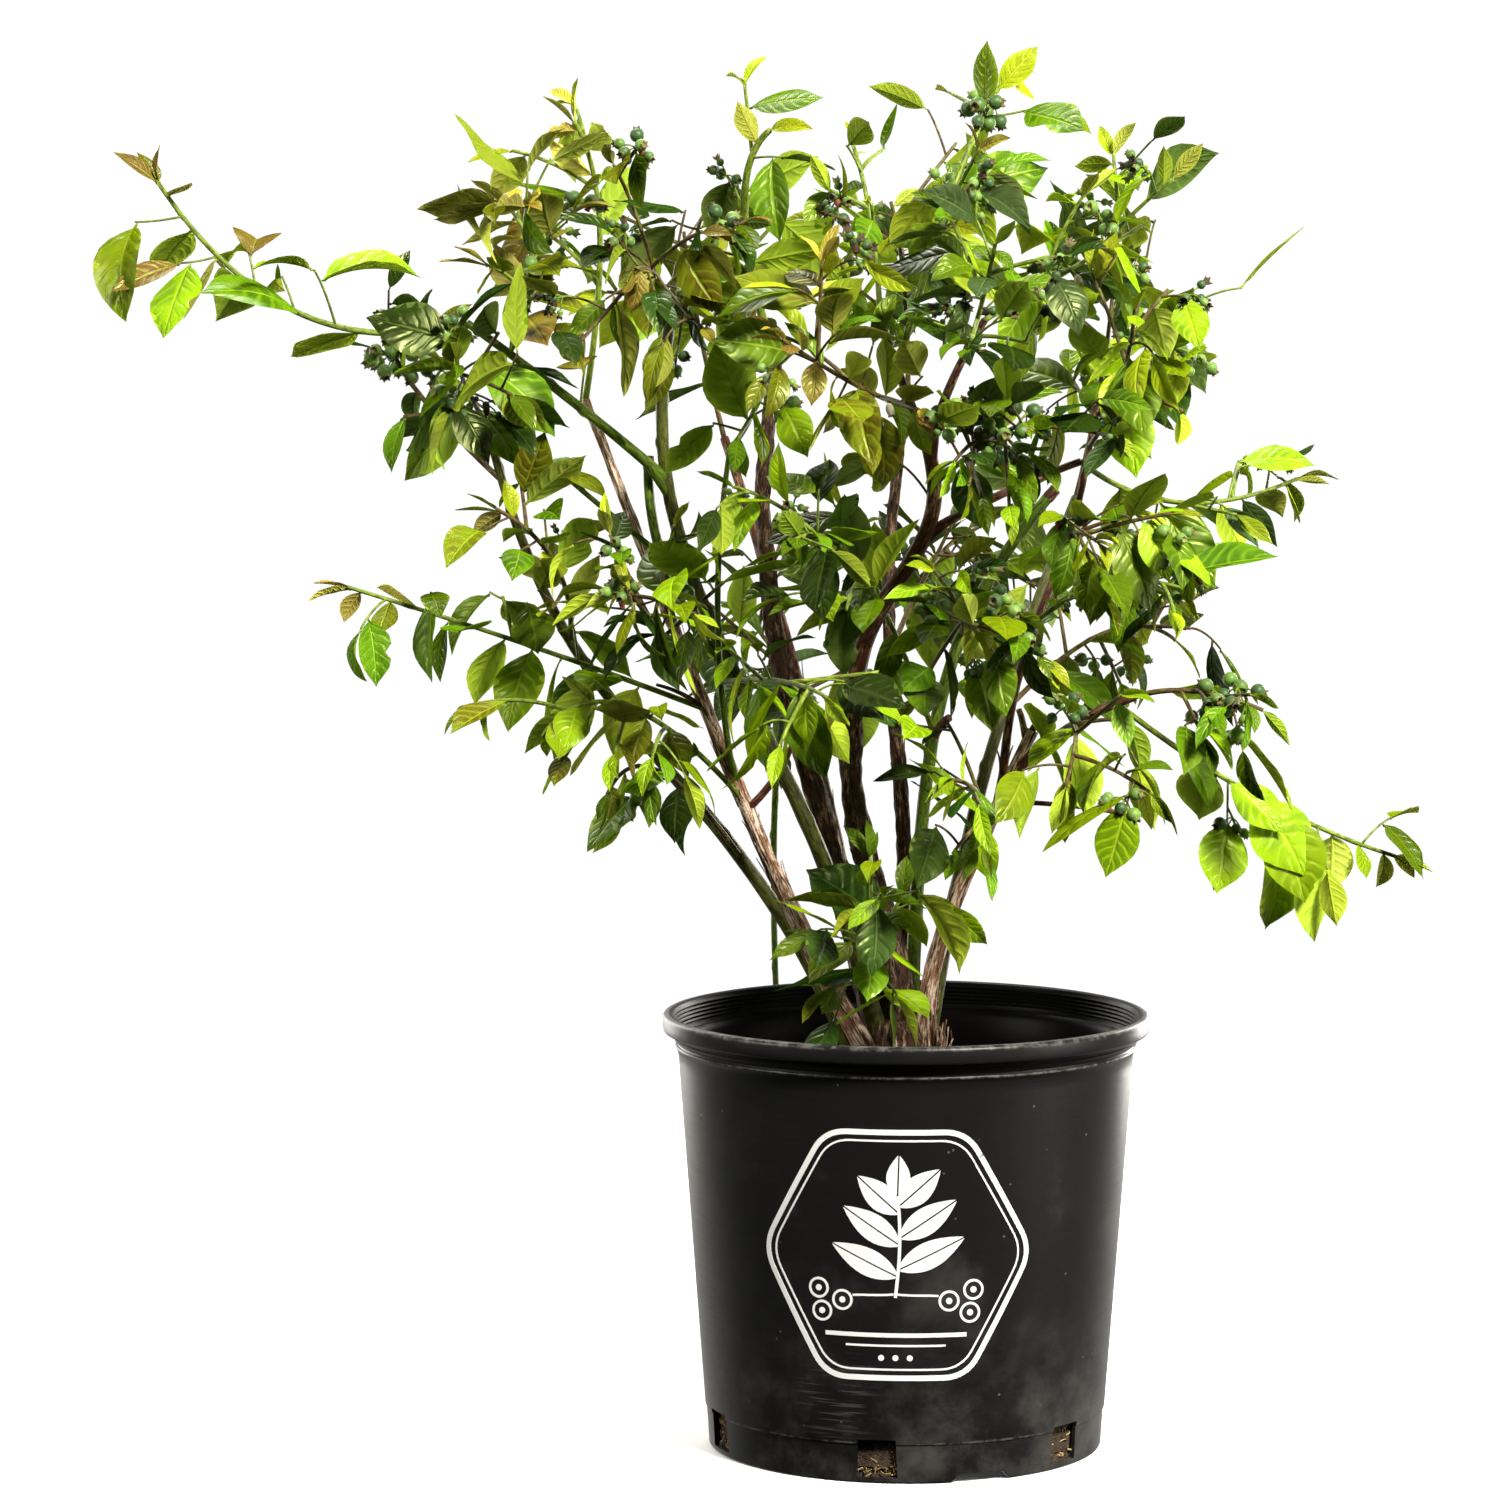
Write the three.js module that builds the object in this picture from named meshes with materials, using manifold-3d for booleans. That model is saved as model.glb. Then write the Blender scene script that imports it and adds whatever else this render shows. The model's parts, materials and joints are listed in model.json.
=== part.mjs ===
// A highbush blueberry in a three-gallon nursery pot. Millimetres, +Z up.
// The origin is the middle of the pot's underside, +X is the bush's right side and -Y its front.
import * as THREE from 'three';
import { mergeVertices } from 'three/addons/utils/BufferGeometryUtils.js';
import Module from 'manifold-3d';

const wasm = await Module();
wasm.setup();

// ---- Driving dimensions ----

const SETTLE = 0.3; // clear gap between two pieces that touch
const MERGE_TOLERANCE = 0.03; // slivers thinner than this are merged

const POT_SIDES = 28;
const POT_HEIGHT = 250;
const POT_WALL = 2.4;
const RIM_RADIUS = 140;
const RIM_CREST = 137; // radius of the rim's flat top edge, on its outer side
const RIM_BAND = 240; // height of the rolled rim's underside
const NECK_HEIGHT = 232; // the small step under the rim
const NECK_RADIUS = 131.5; // of the wall where it meets that step
const SHOULDER_RADIUS = 115.6; // of the wall where it meets the foot
const FOOT_RADIUS = 113.4;
const FOOT_HEIGHT = 22.5; // of the stepped-in foot
const FLOOR_TOP = 8;
const FLOOR_UNDER = 5.5;
const BOSS_RADIUS = 40; // the flat disc that the middle of the pot stands on
const SOIL_LEVEL = 205;
const MOUTH_RADIUS = 118; // growth keeps this close to the middle inside the pot's mouth

const WINDOWS = 6; // drain windows round the foot
const WINDOW_WIDTH = 23;
const WINDOW_SILL = 3;
const WINDOW_HEAD = 25;
const WINDOW_ANGLE = -9.5; // degrees from the front, towards +X
const NOTCHES = 3; // moulded notches under the foot
const NOTCH_WIDTH = 38;
const NOTCH_TOP_WIDTH = 25;
const NOTCH_HEIGHT = 5;
const NOTCH_ANGLE = 20.5;

const STOOL_HEIGHT = 42; // the woody crown that all canes rise from
const STOOL_RADIUS = 30;
const STOOL_TOP_RADIUS = 17;
const STOOL_SIDES = 12;

const CANE_SIDES = 6;
const CANE_STEPS = 8;
const CANE_SUNK = 6; // height of a cane's foot over the soil, inside the stool
const ROOT_FLARE = 0.4; // a cane is this much thicker where it leaves the stool
const FLARE_FADE = 14; // how fast the flare fades up the cane
const BOUGH_SIDES = 5;
const BOUGH_STEPS = 4;
const TWIG_SIDES = 3;

const GROWTH_SEED = 2024;
const GOLDEN_TURN = THREE.MathUtils.degToRad(137.5); // from one side twig to the next
const LEAF_TURN = THREE.MathUtils.degToRad(144); // from one leaf to the next
const TRIAL_TURN = 1.05; // radians from one tried place to the next
const TRIALS = 6; // places tried round the stem for each leaf and twig
const BARE_STEM = 0.16; // share of a stem below its lowest leaf
const BARE_TWIG = 0.3;
const LEAF_PITCH = 18; // stem length from leaf to leaf
const LEAF_APART = 0.14; // least distance between two blades, of their length
const YOUNG_LEAF = 0.66; // a tip leaf's share of the longest leaf
const LEAF_WIDTH = 0.5; // of its length
const LEAF_THICK = 0.03; // of its length
const LEAF_FOLD = 0.09; // how far the midrib lies under the edges, of its length
const LEAF_DROOP = 0.1; // how far the tip hangs under the foot's level, of its length
const STEM_RADIUS = 1.7;
const STEM_STRETCH = 45; // length of each straight stretch that a stem is made of
const TWIG_RADIUS = 1.3;
const STALK_RADIUS = 0.7; // of a berry's stalk
const BERRY_RADIUS = 4.6;
const LIMB_CLEARANCE = 2.5; // between a limb's bark and the nearest leaf
const SPACE_MARGIN = 0.04; // share of its girth that a mass keeps clear of its neighbours
const MIDDLE = new THREE.Vector3(0, 0, 420); // the crown opens out from here

// Canes rise from the stool: foot and tip of the middle line, the bow at its middle, the sway of
// its two halves to either side, and the radius at foot and tip.
const canes = [
  { name: 'trunk_left', foot: [-6, 9], tip: [-75, 90, 623], bow: [-23, -12, -1], sway: [6, -5, 2],
    thick: 8.2, thin: 3.4 },
  { name: 'trunk_centre', foot: [-1, -2], tip: [-30, -18, 437], bow: [-3, 3, 0], sway: [6, 0, 0],
    thick: 8.6, thin: 5.6 },
  { name: 'cane_peeling', foot: [-13, -13], tip: [-185, 50, 601], bow: [-8, -19, -1],
    sway: [-2, -3, 0], thick: 5.4, thin: 2.3 },
  { name: 'cane_left', foot: [-23, 3], tip: [-240, 15, 585], bow: [-9, 6, -5], sway: [11, -1, 6],
    thick: 4.8, thin: 2.4 },
  { name: 'cane_green', foot: [-9, -8], tip: [-129, 20, 680], bow: [-28, -4, -4],
    sway: [18, -3, -1], thick: 5.2, thin: 3.2 },
  { name: 'cane_upright', foot: [4, 12], tip: [87, 45, 549], bow: [-32, -9, 11],
    sway: [5, -1, -3], thick: 4.4, thin: 3.2 },
  { name: 'cane_right', foot: [12, -6], tip: [71, -24, 415], bow: [-13, 1, 5], sway: [-3, 1, 1],
    thick: 5.4, thin: 3.2 },
  { name: 'cane_back_left', foot: [-14, 15], tip: [-105, 150, 575], bow: [6, -28, 10],
    sway: [0, 4, 0], thick: 5, thin: 2.6 },
  { name: 'cane_back_middle', foot: [-3, 19], tip: [5, 150, 600], bow: [-6, -30, 8],
    sway: [6, 0, 0], thick: 5, thin: 2.6 },
  { name: 'cane_back_right', foot: [10, 15], tip: [105, 140, 540], bow: [-10, -26, 8],
    sway: [0, 4, 0], thick: 4.8, thin: 2.6 },
];

// Boughs leave a cane, or another bough, at a share of its length.
const boughs = [
  { name: 'bough_upper_left', on: 'cane_green', at: 0.74, tip: [-250, -20, 646],
    bow: [2, -3, 1], thick: 3.2, thin: 2.2 },
  { name: 'bough_stub', on: 'cane_green', at: 0.5, tip: [-148, 18, 569], bow: [-14, 0, -4],
    thick: 3, thin: 2.8 },
  { name: 'bough_slender', on: 'cane_peeling', at: 0.45, tip: [-101, -40, 575],
    bow: [-8, -8, 0], thick: 2, thin: 1.5 },
  { name: 'bough_centre', on: 'trunk_centre', at: 1, tip: [10, -45, 578], bow: [7, 0, -3],
    sway: [-8, 0, 0], thick: 5.4, thin: 3.8 },
  { name: 'bough_centre_left', on: 'bough_centre', at: 1, tip: [-17, -55, 648],
    bow: [-1, 0, 0], thick: 3, thin: 2 },
  { name: 'bough_centre_right', on: 'bough_centre', at: 0.98, tip: [41, -65, 648],
    bow: [-3, -1, 1], thick: 3, thin: 2 },
  { name: 'bough_centre_far', on: 'bough_centre', at: 0.66, tip: [97, -32, 568],
    bow: [-1, -1, 2], thick: 2.8, thin: 2 },
  { name: 'bough_right_brown', on: 'cane_right', at: 0.88, tip: [128, -45, 436],
    bow: [-2, 0, 4], thick: 3, thin: 2.4 },
  { name: 'bough_right_thin', on: 'cane_right', at: 0.8, tip: [107, -5, 599],
    bow: [-2, 2, 0], sway: [-5, -2, 1], thick: 2.7, thin: 1.7 },
];

// Masses of foliage. A stem leaves its limb at a share of the limb's length and passes by "via"
// to its tip. "girth" is the radius of the space round the stem that the mass keeps to, "reach"
// the length of its side twigs, "hang" how much its leaves hang, "leaf" the longest leaf.
const masses = [
  { name: 'foliage_long_left_shoot', on: 'bough_upper_left', at: 1, via: [-345, -30, 652],
    tip: [-425, -20, 727], girth: 84, twigs: 0, reach: 0, hang: 1.1, leaf: 64 },
  { name: 'foliage_low_left_shoot', on: 'cane_peeling', at: 0.55, via: [-212, -20, 462],
    tip: [-316, -60, 499], girth: 78, twigs: 1, reach: 36, hang: 1.1, leaf: 56 },
  { name: 'foliage_left_cluster', on: 'cane_left', at: 0.93, via: [-284, 28, 610],
    tip: [-300, 62, 645], girth: 70, twigs: 3, reach: 36, hang: 0.5, leaf: 46, berries: 4 },
  { name: 'foliage_left_dark', on: 'cane_left', at: 1, via: [-248, -40, 608],
    tip: [-252, -88, 624], girth: 74, twigs: 3, reach: 46, hang: 0.7, leaf: 70 },
  { name: 'foliage_bronze_top', on: 'bough_upper_left', at: 0.8, via: [-212, -30, 675],
    tip: [-226, -40, 712], girth: 76, twigs: 3, reach: 42, hang: 0.3, leaf: 64 },
  { name: 'foliage_upper_left', on: 'cane_peeling', at: 1, via: [-176, 30, 700],
    tip: [-190, 10, 760], girth: 76, twigs: 4, reach: 50, hang: 0.6, leaf: 60 },
  { name: 'foliage_inner_left', on: 'cane_green', at: 0.93, via: [-142, -25, 672],
    tip: [-154, -75, 676], girth: 80, twigs: 5, reach: 54, hang: 0.7, leaf: 62 },
  { name: 'foliage_upright_top', on: 'trunk_left', at: 1, via: [-93, 60, 710],
    tip: [-78, 40, 756], girth: 76, twigs: 3, reach: 52, hang: 0.8, leaf: 62 },
  { name: 'foliage_top_centre', on: 'bough_centre_left', at: 1, via: [-22, -40, 704],
    tip: [-33, -20, 750], girth: 62, twigs: 3, reach: 42, hang: 0.5, leaf: 48 },
  { name: 'foliage_tall_shoot', on: 'bough_centre_left', at: 0.6, via: [28, -30, 730],
    tip: [60, 20, 790], girth: 72, twigs: 2, reach: 40, hang: 0.7, leaf: 60, berries: 3 },
  { name: 'foliage_right_top', on: 'bough_centre_right', at: 1, via: [92, -10, 676],
    tip: [138, 20, 703], girth: 78, twigs: 4, reach: 54, hang: 0.7, leaf: 62 },
  { name: 'foliage_outer_right', on: 'bough_right_thin', at: 1, via: [152, 10, 635],
    tip: [170, 30, 678], girth: 70, twigs: 3, reach: 44, hang: 0.6, leaf: 60 },
  { name: 'foliage_right_front', on: 'bough_right_thin', at: 0.9, via: [117, -60, 612],
    tip: [122, -100, 655], girth: 78, twigs: 4, reach: 52, hang: 0.9, leaf: 66 },
  { name: 'foliage_centre_upper', on: 'bough_centre_right', at: 0.7, via: [36, -95, 650],
    tip: [44, -125, 690], girth: 76, twigs: 4, reach: 52, hang: 0.8, leaf: 58 },
  { name: 'foliage_centre_inner', on: 'bough_centre', at: 0.85, via: [42, -75, 580],
    tip: [62, -118, 592], girth: 78, twigs: 5, reach: 54, hang: 0.8, leaf: 60, berries: 3 },
  { name: 'foliage_front_centre', on: 'bough_centre_left', at: 0.3, via: [-30, -105, 612],
    tip: [-72, -150, 638], girth: 76, twigs: 3, reach: 50, hang: 0.6, leaf: 58 },
  { name: 'foliage_right_mid_shoot', on: 'bough_centre_far', at: 1, via: [157, 10, 543],
    tip: [226, 30, 556], girth: 76, twigs: 2, reach: 44, hang: 1, leaf: 62 },
  { name: 'foliage_right_mid_berries', on: 'bough_right_thin', at: 0.45, via: [116, -40, 500],
    tip: [160, -60, 495], girth: 72, twigs: 3, reach: 44, hang: 0.8, leaf: 58, berries: 3 },
  { name: 'foliage_right_inner', on: 'bough_right_thin', at: 0.65, via: [92, -70, 530],
    tip: [100, -120, 528], girth: 70, twigs: 3, reach: 44, hang: 0.9, leaf: 56 },
  { name: 'foliage_right_low', on: 'bough_right_brown', at: 0.4, via: [92, -80, 420],
    tip: [84, -120, 392], girth: 74, twigs: 3, reach: 44, hang: 1.1, leaf: 66 },
  { name: 'foliage_right_berries', on: 'bough_right_brown', at: 1, via: [160, -58, 440],
    tip: [198, -66, 430], girth: 68, twigs: 2, reach: 38, hang: 1, leaf: 60, berries: 4 },
  { name: 'foliage_right_long_shoot', on: 'bough_right_brown', at: 0.86, via: [200, -15, 376],
    tip: [282, 0, 340], girth: 74, twigs: 0, reach: 0, hang: 1.2, leaf: 60 },
  { name: 'foliage_low_centre', on: 'cane_right', at: 0.6, via: [40, -75, 378],
    tip: [22, -120, 396], girth: 70, twigs: 3, reach: 42, hang: 1, leaf: 58 },
  { name: 'foliage_base_sprout', on: 'trunk_centre', at: 0.22, via: [-18, -62, 285],
    tip: [-22, -78, 350], girth: 76, twigs: 3, reach: 42, hang: 1.1, leaf: 58 },
  { name: 'foliage_left_low', on: 'cane_left', at: 0.33, via: [-141, -30, 392],
    tip: [-170, -60, 382], girth: 58, twigs: 1, reach: 30, hang: 1, leaf: 54 },
  { name: 'foliage_left_fan', on: 'cane_peeling', at: 0.42, via: [-160, -60, 432],
    tip: [-205, -100, 418], girth: 76, twigs: 4, reach: 50, hang: 1, leaf: 60 },
  { name: 'foliage_left_mid', on: 'cane_peeling', at: 0.62, via: [-145, -60, 480],
    tip: [-160, -120, 505], girth: 76, twigs: 4, reach: 50, hang: 0.8, leaf: 58 },
  { name: 'foliage_left_upper_mid', on: 'cane_left', at: 0.7, via: [-200, -30, 510],
    tip: [-232, -50, 542], girth: 68, twigs: 3, reach: 42, hang: 0.7, leaf: 56 },
  { name: 'foliage_slender', on: 'bough_slender', at: 1, via: [-90, -62, 592],
    tip: [-86, -92, 606], girth: 60, twigs: 1, reach: 34, hang: 1, leaf: 66 },
  { name: 'foliage_front_lime', on: 'bough_slender', at: 0.3, via: [-72, -90, 448],
    tip: [-48, -150, 444], girth: 74, twigs: 3, reach: 46, hang: 1.1, leaf: 64 },
  { name: 'foliage_centre_mid', on: 'cane_upright', at: 0.55, via: [-28, -50, 508],
    tip: [-66, -125, 528], girth: 76, twigs: 4, reach: 52, hang: 0.9, leaf: 60 },
  { name: 'foliage_centre_right_mid', on: 'cane_upright', at: 0.72, via: [30, -60, 480],
    tip: [36, -125, 478], girth: 78, twigs: 4, reach: 54, hang: 0.9, leaf: 60 },
  { name: 'foliage_back_left_low', on: 'cane_back_left', at: 0.5, via: [-70, 120, 440],
    tip: [-95, 175, 470], girth: 86, twigs: 4, reach: 58, hang: 0.9, leaf: 64 },
  { name: 'foliage_back_left_top', on: 'cane_back_left', at: 1, via: [-122, 160, 650],
    tip: [-130, 165, 706], girth: 86, twigs: 5, reach: 58, hang: 0.8, leaf: 64 },
  { name: 'foliage_back_middle_low', on: 'cane_back_middle', at: 0.6, via: [20, 150, 500],
    tip: [40, 200, 510], girth: 86, twigs: 4, reach: 58, hang: 0.9, leaf: 64 },
  { name: 'foliage_back_middle_top', on: 'cane_back_middle', at: 1, via: [2, 150, 670],
    tip: [-6, 140, 716], girth: 86, twigs: 5, reach: 58, hang: 0.8, leaf: 64 },
  { name: 'foliage_back_right_low', on: 'cane_back_right', at: 0.6, via: [120, 120, 460],
    tip: [165, 140, 455], girth: 86, twigs: 4, reach: 56, hang: 0.9, leaf: 64 },
  { name: 'foliage_back_right_top', on: 'cane_back_right', at: 1, via: [122, 150, 620],
    tip: [128, 140, 690], girth: 86, twigs: 5, reach: 56, hang: 0.8, leaf: 64 },
];

// ---- Solids ----

// A closed geometry as a solid, with its faces pointing out.
function solidOf(geometry) {
  const bare = geometry.clone();
  bare.deleteAttribute('normal');
  bare.deleteAttribute('uv');
  const merged = mergeVertices(bare, 1e-4);
  return new wasm.Manifold(new wasm.Mesh({
    numProp: 3,
    vertProperties: new Float32Array(merged.attributes.position.array),
    triVerts: new Uint32Array(merged.index.array),
  }));
}

// The largest closed body of a solid: loose scraps are dropped, and sealed hollows filled.
function wholeOf(solid) {
  const bodies = solid.decompose();
  return bodies.reduce((largest, body) => (body.volume() > largest.volume() ? body : largest));
}

function meshOf(name, solid, look) {
  const { vertProperties, triVerts } = solid.getMesh();
  const geometry = new THREE.BufferGeometry();
  geometry.setAttribute('position', new THREE.BufferAttribute(vertProperties, 3));
  geometry.setIndex(new THREE.BufferAttribute(triVerts, 1));
  geometry.computeVertexNormals();
  const mesh = new THREE.Mesh(geometry, new THREE.MeshStandardMaterial({ metalness: 0, ...look }));
  mesh.name = name;
  return mesh;
}

// A closed profile of [radius, height] points turned about the Z axis.
function turned(profile, sides) {
  const points = profile.map(([radius, height]) => new THREE.Vector2(radius, height));
  return new THREE.LatheGeometry(points, sides).rotateX(Math.PI / 2);
}

// ---- The pot and what fills it ----

const potWallRadius = (height) => THREE.MathUtils.mapLinear(
  height, FOOT_HEIGHT, NECK_HEIGHT, SHOULDER_RADIUS, NECK_RADIUS,
);

function potSolid() {
  const profile = [
    [0, 0],
    [BOSS_RADIUS, 0],
    [BOSS_RADIUS + 2, FLOOR_UNDER],
    [FOOT_RADIUS - 3, FLOOR_UNDER],
    [FOOT_RADIUS - 2.2, 0],
    [FOOT_RADIUS, 0],
    [FOOT_RADIUS + 1.5, FOOT_HEIGHT - 0.5],
    [SHOULDER_RADIUS, FOOT_HEIGHT],
    [NECK_RADIUS, NECK_HEIGHT],
    [RIM_RADIUS - 7, NECK_HEIGHT + 1.5],
    [RIM_RADIUS - 6, RIM_BAND],
    [RIM_RADIUS - 0.4, RIM_BAND],
    [RIM_RADIUS, POT_HEIGHT - 2],
    [RIM_CREST, POT_HEIGHT],
    [RIM_CREST - POT_WALL, POT_HEIGHT],
    [RIM_RADIUS - 8.4, RIM_BAND],
    [NECK_RADIUS - POT_WALL, NECK_HEIGHT - 2],
    [SHOULDER_RADIUS - POT_WALL - 1, FOOT_HEIGHT],
    [FOOT_RADIUS - POT_WALL, FLOOR_TOP],
    [0, FLOOR_TOP],
    [0, 0],
  ];
  return solidOf(turned(profile, POT_SIDES));
}

// A cutter that reaches through the pot's foot, turned from the front by an angle in degrees.
function footCutter(outline, degrees) {
  const inner = FOOT_RADIUS - 9;
  const geometry = new THREE.ExtrudeGeometry(new THREE.Shape(outline), {
    depth: 20, bevelEnabled: false,
  });
  geometry.translate(0, 0, inner).rotateX(Math.PI / 2).rotateZ(THREE.MathUtils.degToRad(degrees));
  return solidOf(geometry);
}

function makePot() {
  const windowOutline = [
    new THREE.Vector2(-WINDOW_WIDTH / 2, WINDOW_SILL),
    new THREE.Vector2(WINDOW_WIDTH / 2, WINDOW_SILL),
    new THREE.Vector2(WINDOW_WIDTH / 2, WINDOW_HEAD),
    new THREE.Vector2(-WINDOW_WIDTH / 2, WINDOW_HEAD),
  ];
  const notchOutline = [
    new THREE.Vector2(-NOTCH_WIDTH / 2, -1),
    new THREE.Vector2(NOTCH_WIDTH / 2, -1),
    new THREE.Vector2(NOTCH_TOP_WIDTH / 2, NOTCH_HEIGHT),
    new THREE.Vector2(-NOTCH_TOP_WIDTH / 2, NOTCH_HEIGHT),
  ];
  let pot = potSolid();
  for (let k = 0; k < WINDOWS; k += 1) {
    pot = pot.subtract(footCutter(windowOutline, WINDOW_ANGLE + (k * 360) / WINDOWS));
  }
  for (let k = 0; k < NOTCHES; k += 1) {
    pot = pot.subtract(footCutter(notchOutline, NOTCH_ANGLE + (k * 360) / NOTCHES));
  }
  return wholeOf(pot);
}

function makeSoil() {
  const profile = [
    [0, FLOOR_TOP + SETTLE],
    [FOOT_RADIUS - POT_WALL - SETTLE, FLOOR_TOP + SETTLE],
    [SHOULDER_RADIUS - POT_WALL - 1 - SETTLE, FOOT_HEIGHT],
    [potWallRadius(SOIL_LEVEL) - POT_WALL - 1 - SETTLE, SOIL_LEVEL - SETTLE],
    [0, SOIL_LEVEL - SETTLE],
    [0, FLOOR_TOP + SETTLE],
  ];
  return solidOf(turned(profile, POT_SIDES));
}

// The stool: a lumpy woody crown, cut flat where it stands on the soil.
function makeStool(swell = 0) {
  const geometry = new THREE.CylinderGeometry(
    STOOL_TOP_RADIUS, STOOL_RADIUS, STOOL_HEIGHT, STOOL_SIDES, 3,
  );
  geometry.rotateX(Math.PI / 2).translate(0, 0, STOOL_HEIGHT / 2);
  const place = geometry.attributes.position;
  for (let i = 0; i < place.count; i += 1) {
    const angle = Math.atan2(place.getY(i), place.getX(i));
    const radius = Math.hypot(place.getX(i), place.getY(i));
    const lump = radius > 0.001 ? 1 + 0.1 * Math.sin(3 * angle + 0.6) + swell / radius : 1;
    const height = place.getZ(i) + (place.getZ(i) > 1 ? swell : 0);
    place.setXYZ(i, place.getX(i) * lump - 3, place.getY(i) * lump + 1, SOIL_LEVEL + height);
  }
  return solidOf(geometry);
}

// ---- Limbs ----

class LimbLine extends THREE.Curve {
  constructor(foot, tip, bow, sway = new THREE.Vector3()) {
    super();
    Object.assign(this, { foot, tip, bow, sway });
  }

  getPoint(t, target = new THREE.Vector3()) {
    return target.lerpVectors(this.foot, this.tip, t)
      .addScaledVector(this.bow, 4 * t * (1 - t))
      .addScaledVector(this.sway, Math.sin(2 * Math.PI * t));
  }
}

const vector = (numbers = [0, 0, 0]) => new THREE.Vector3(...numbers);

// Two directions square to a line at t, which turn little along the line.
function frameAt(line, t) {
  const tangent = line.getTangent(t);
  const side = new THREE.Vector3(0.35, 1, 0.1);
  side.addScaledVector(tangent, -side.dot(tangent)).normalize();
  return { point: line.getPoint(t), tangent, side, over: side.clone().cross(tangent) };
}

// A cylinder bent along a line and tapered by a function of the share of its length.
function limbGeometry(line, radiusAt, sides, steps) {
  const geometry = new THREE.CylinderGeometry(1, 1, 1, sides, steps);
  const place = geometry.attributes.position;
  for (let i = 0; i < place.count; i += 1) {
    const t = place.getY(i) + 0.5;
    const { point, side, over } = frameAt(line, t);
    const radius = radiusAt(t);
    point.addScaledVector(side, place.getX(i) * radius).addScaledVector(over, place.getZ(i) * radius);
    place.setXYZ(i, point.x, point.y, point.z);
  }
  return geometry;
}

function planLimbs() {
  const limbs = new Map();
  for (const row of canes) {
    const foot = vector([...row.foot, SOIL_LEVEL + CANE_SUNK]);
    const line = new LimbLine(foot, vector(row.tip), vector(row.bow), vector(row.sway));
    limbs.set(row.name, { ...row, line, sides: CANE_SIDES, steps: CANE_STEPS, flare: ROOT_FLARE });
  }
  for (const row of boughs) {
    const foot = limbs.get(row.on).line.getPoint(row.at);
    const line = new LimbLine(foot, vector(row.tip), vector(row.bow), vector(row.sway));
    limbs.set(row.name, { ...row, line, sides: BOUGH_SIDES, steps: BOUGH_STEPS, flare: 0 });
  }
  return limbs;
}

const limbs = planLimbs();

function limbRadius(limb, t) {
  const taper = THREE.MathUtils.lerp(limb.thick, limb.thin, t);
  return taper * (1 + limb.flare * Math.exp(-FLARE_FADE * t));
}

// The solid of a limb, swollen all round by a small clearance where it is a cutter.
function limbSolid(limb, swell = 0) {
  const radiusAt = (t) => limbRadius(limb, t) + swell * 1.15;
  const line = swell ? lengthened(limb.line, swell) : limb.line;
  return solidOf(limbGeometry(line, radiusAt, limb.sides, limb.steps));
}

// The same line, a little longer at its tip.
function lengthened(line, extra) {
  const along = line.getTangent(1).multiplyScalar(extra);
  return new LimbLine(line.foot, line.tip.clone().add(along), line.bow, line.sway);
}

// Each limb is cut clear of the stool and of every limb that was made before it.
function makeLimbs(stoolCutter) {
  const made = new Map();
  const cutters = [stoolCutter];
  for (const limb of limbs.values()) {
    let solid = limbSolid(limb);
    for (const cutter of cutters) {
      solid = solid.subtract(cutter);
    }
    made.set(limb.name, wholeOf(solid));
    cutters.push(limbSolid(limb, SETTLE));
  }
  return { made, cutters };
}

// ---- Growth ----

// A seeded die that gives the same rolls wherever the rule is written.
function dice(seed) {
  let state = seed >>> 0;
  return () => {
    state = (state + 0x6d2b79f5) >>> 0;
    let t = state;
    t = Math.imul(t ^ (t >>> 15), t | 1);
    t ^= t + Math.imul(t ^ (t >>> 7), t | 61);
    return ((t ^ (t >>> 14)) >>> 0) / 4294967296;
  };
}

function stemLine(mass) {
  const foot = limbs.get(mass.on).line.getPoint(mass.at);
  const tip = vector(mass.tip);
  const bow = vector(mass.via).sub(foot.clone().add(tip).multiplyScalar(0.5));
  return new LimbLine(foot, tip, bow);
}

const stems = masses.map((mass) => stemLine(mass));
const stemPosts = stems.map((line) => line.getPoints(6));

// Distance from a point to a chain of points.
function distanceToChain(point, chain) {
  const nearest = new THREE.Vector3();
  const stretch = new THREE.Line3();
  let least = Infinity;
  for (let i = 1; i < chain.length; i += 1) {
    stretch.set(chain[i - 1], chain[i]).closestPointToPoint(point, true, nearest);
    least = Math.min(least, nearest.distanceTo(point));
  }
  return least;
}

// A point belongs to the mass whose stem is nearest to it, measured in girths.
function ownsPoint(order, point) {
  const share = distanceToChain(point, stemPosts[order]) / masses[order].girth;
  if (share > 1) {
    return false;
  }
  return masses.every((mass, other) => other === order
    || share + SPACE_MARGIN < distanceToChain(point, stemPosts[other]) / mass.girth);
}

const limbPosts = [...limbs.values()].map((limb) => ({
  chain: limb.line.getPoints(limb.steps * 2), radius: limb.thick,
}));

function clearOfLimbs(point) {
  return limbPosts.every(({ chain, radius }) => distanceToChain(point, chain)
    > radius + LIMB_CLEARANCE);
}

// Inside the pot's mouth, growth keeps off the rim and the soil.
function clearOfPot(point) {
  const inMouth = Math.hypot(point.x, point.y) < MOUTH_RADIUS && point.z > SOIL_LEVEL + 4;
  return point.z > POT_HEIGHT + 8 || inMouth;
}

function free(order, points) {
  return points.every((point) => clearOfPot(point) && ownsPoint(order, point)
    && clearOfLimbs(point));
}

const outwardAt = (point) => point.clone().sub(MIDDLE).setZ(0).normalize();

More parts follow.
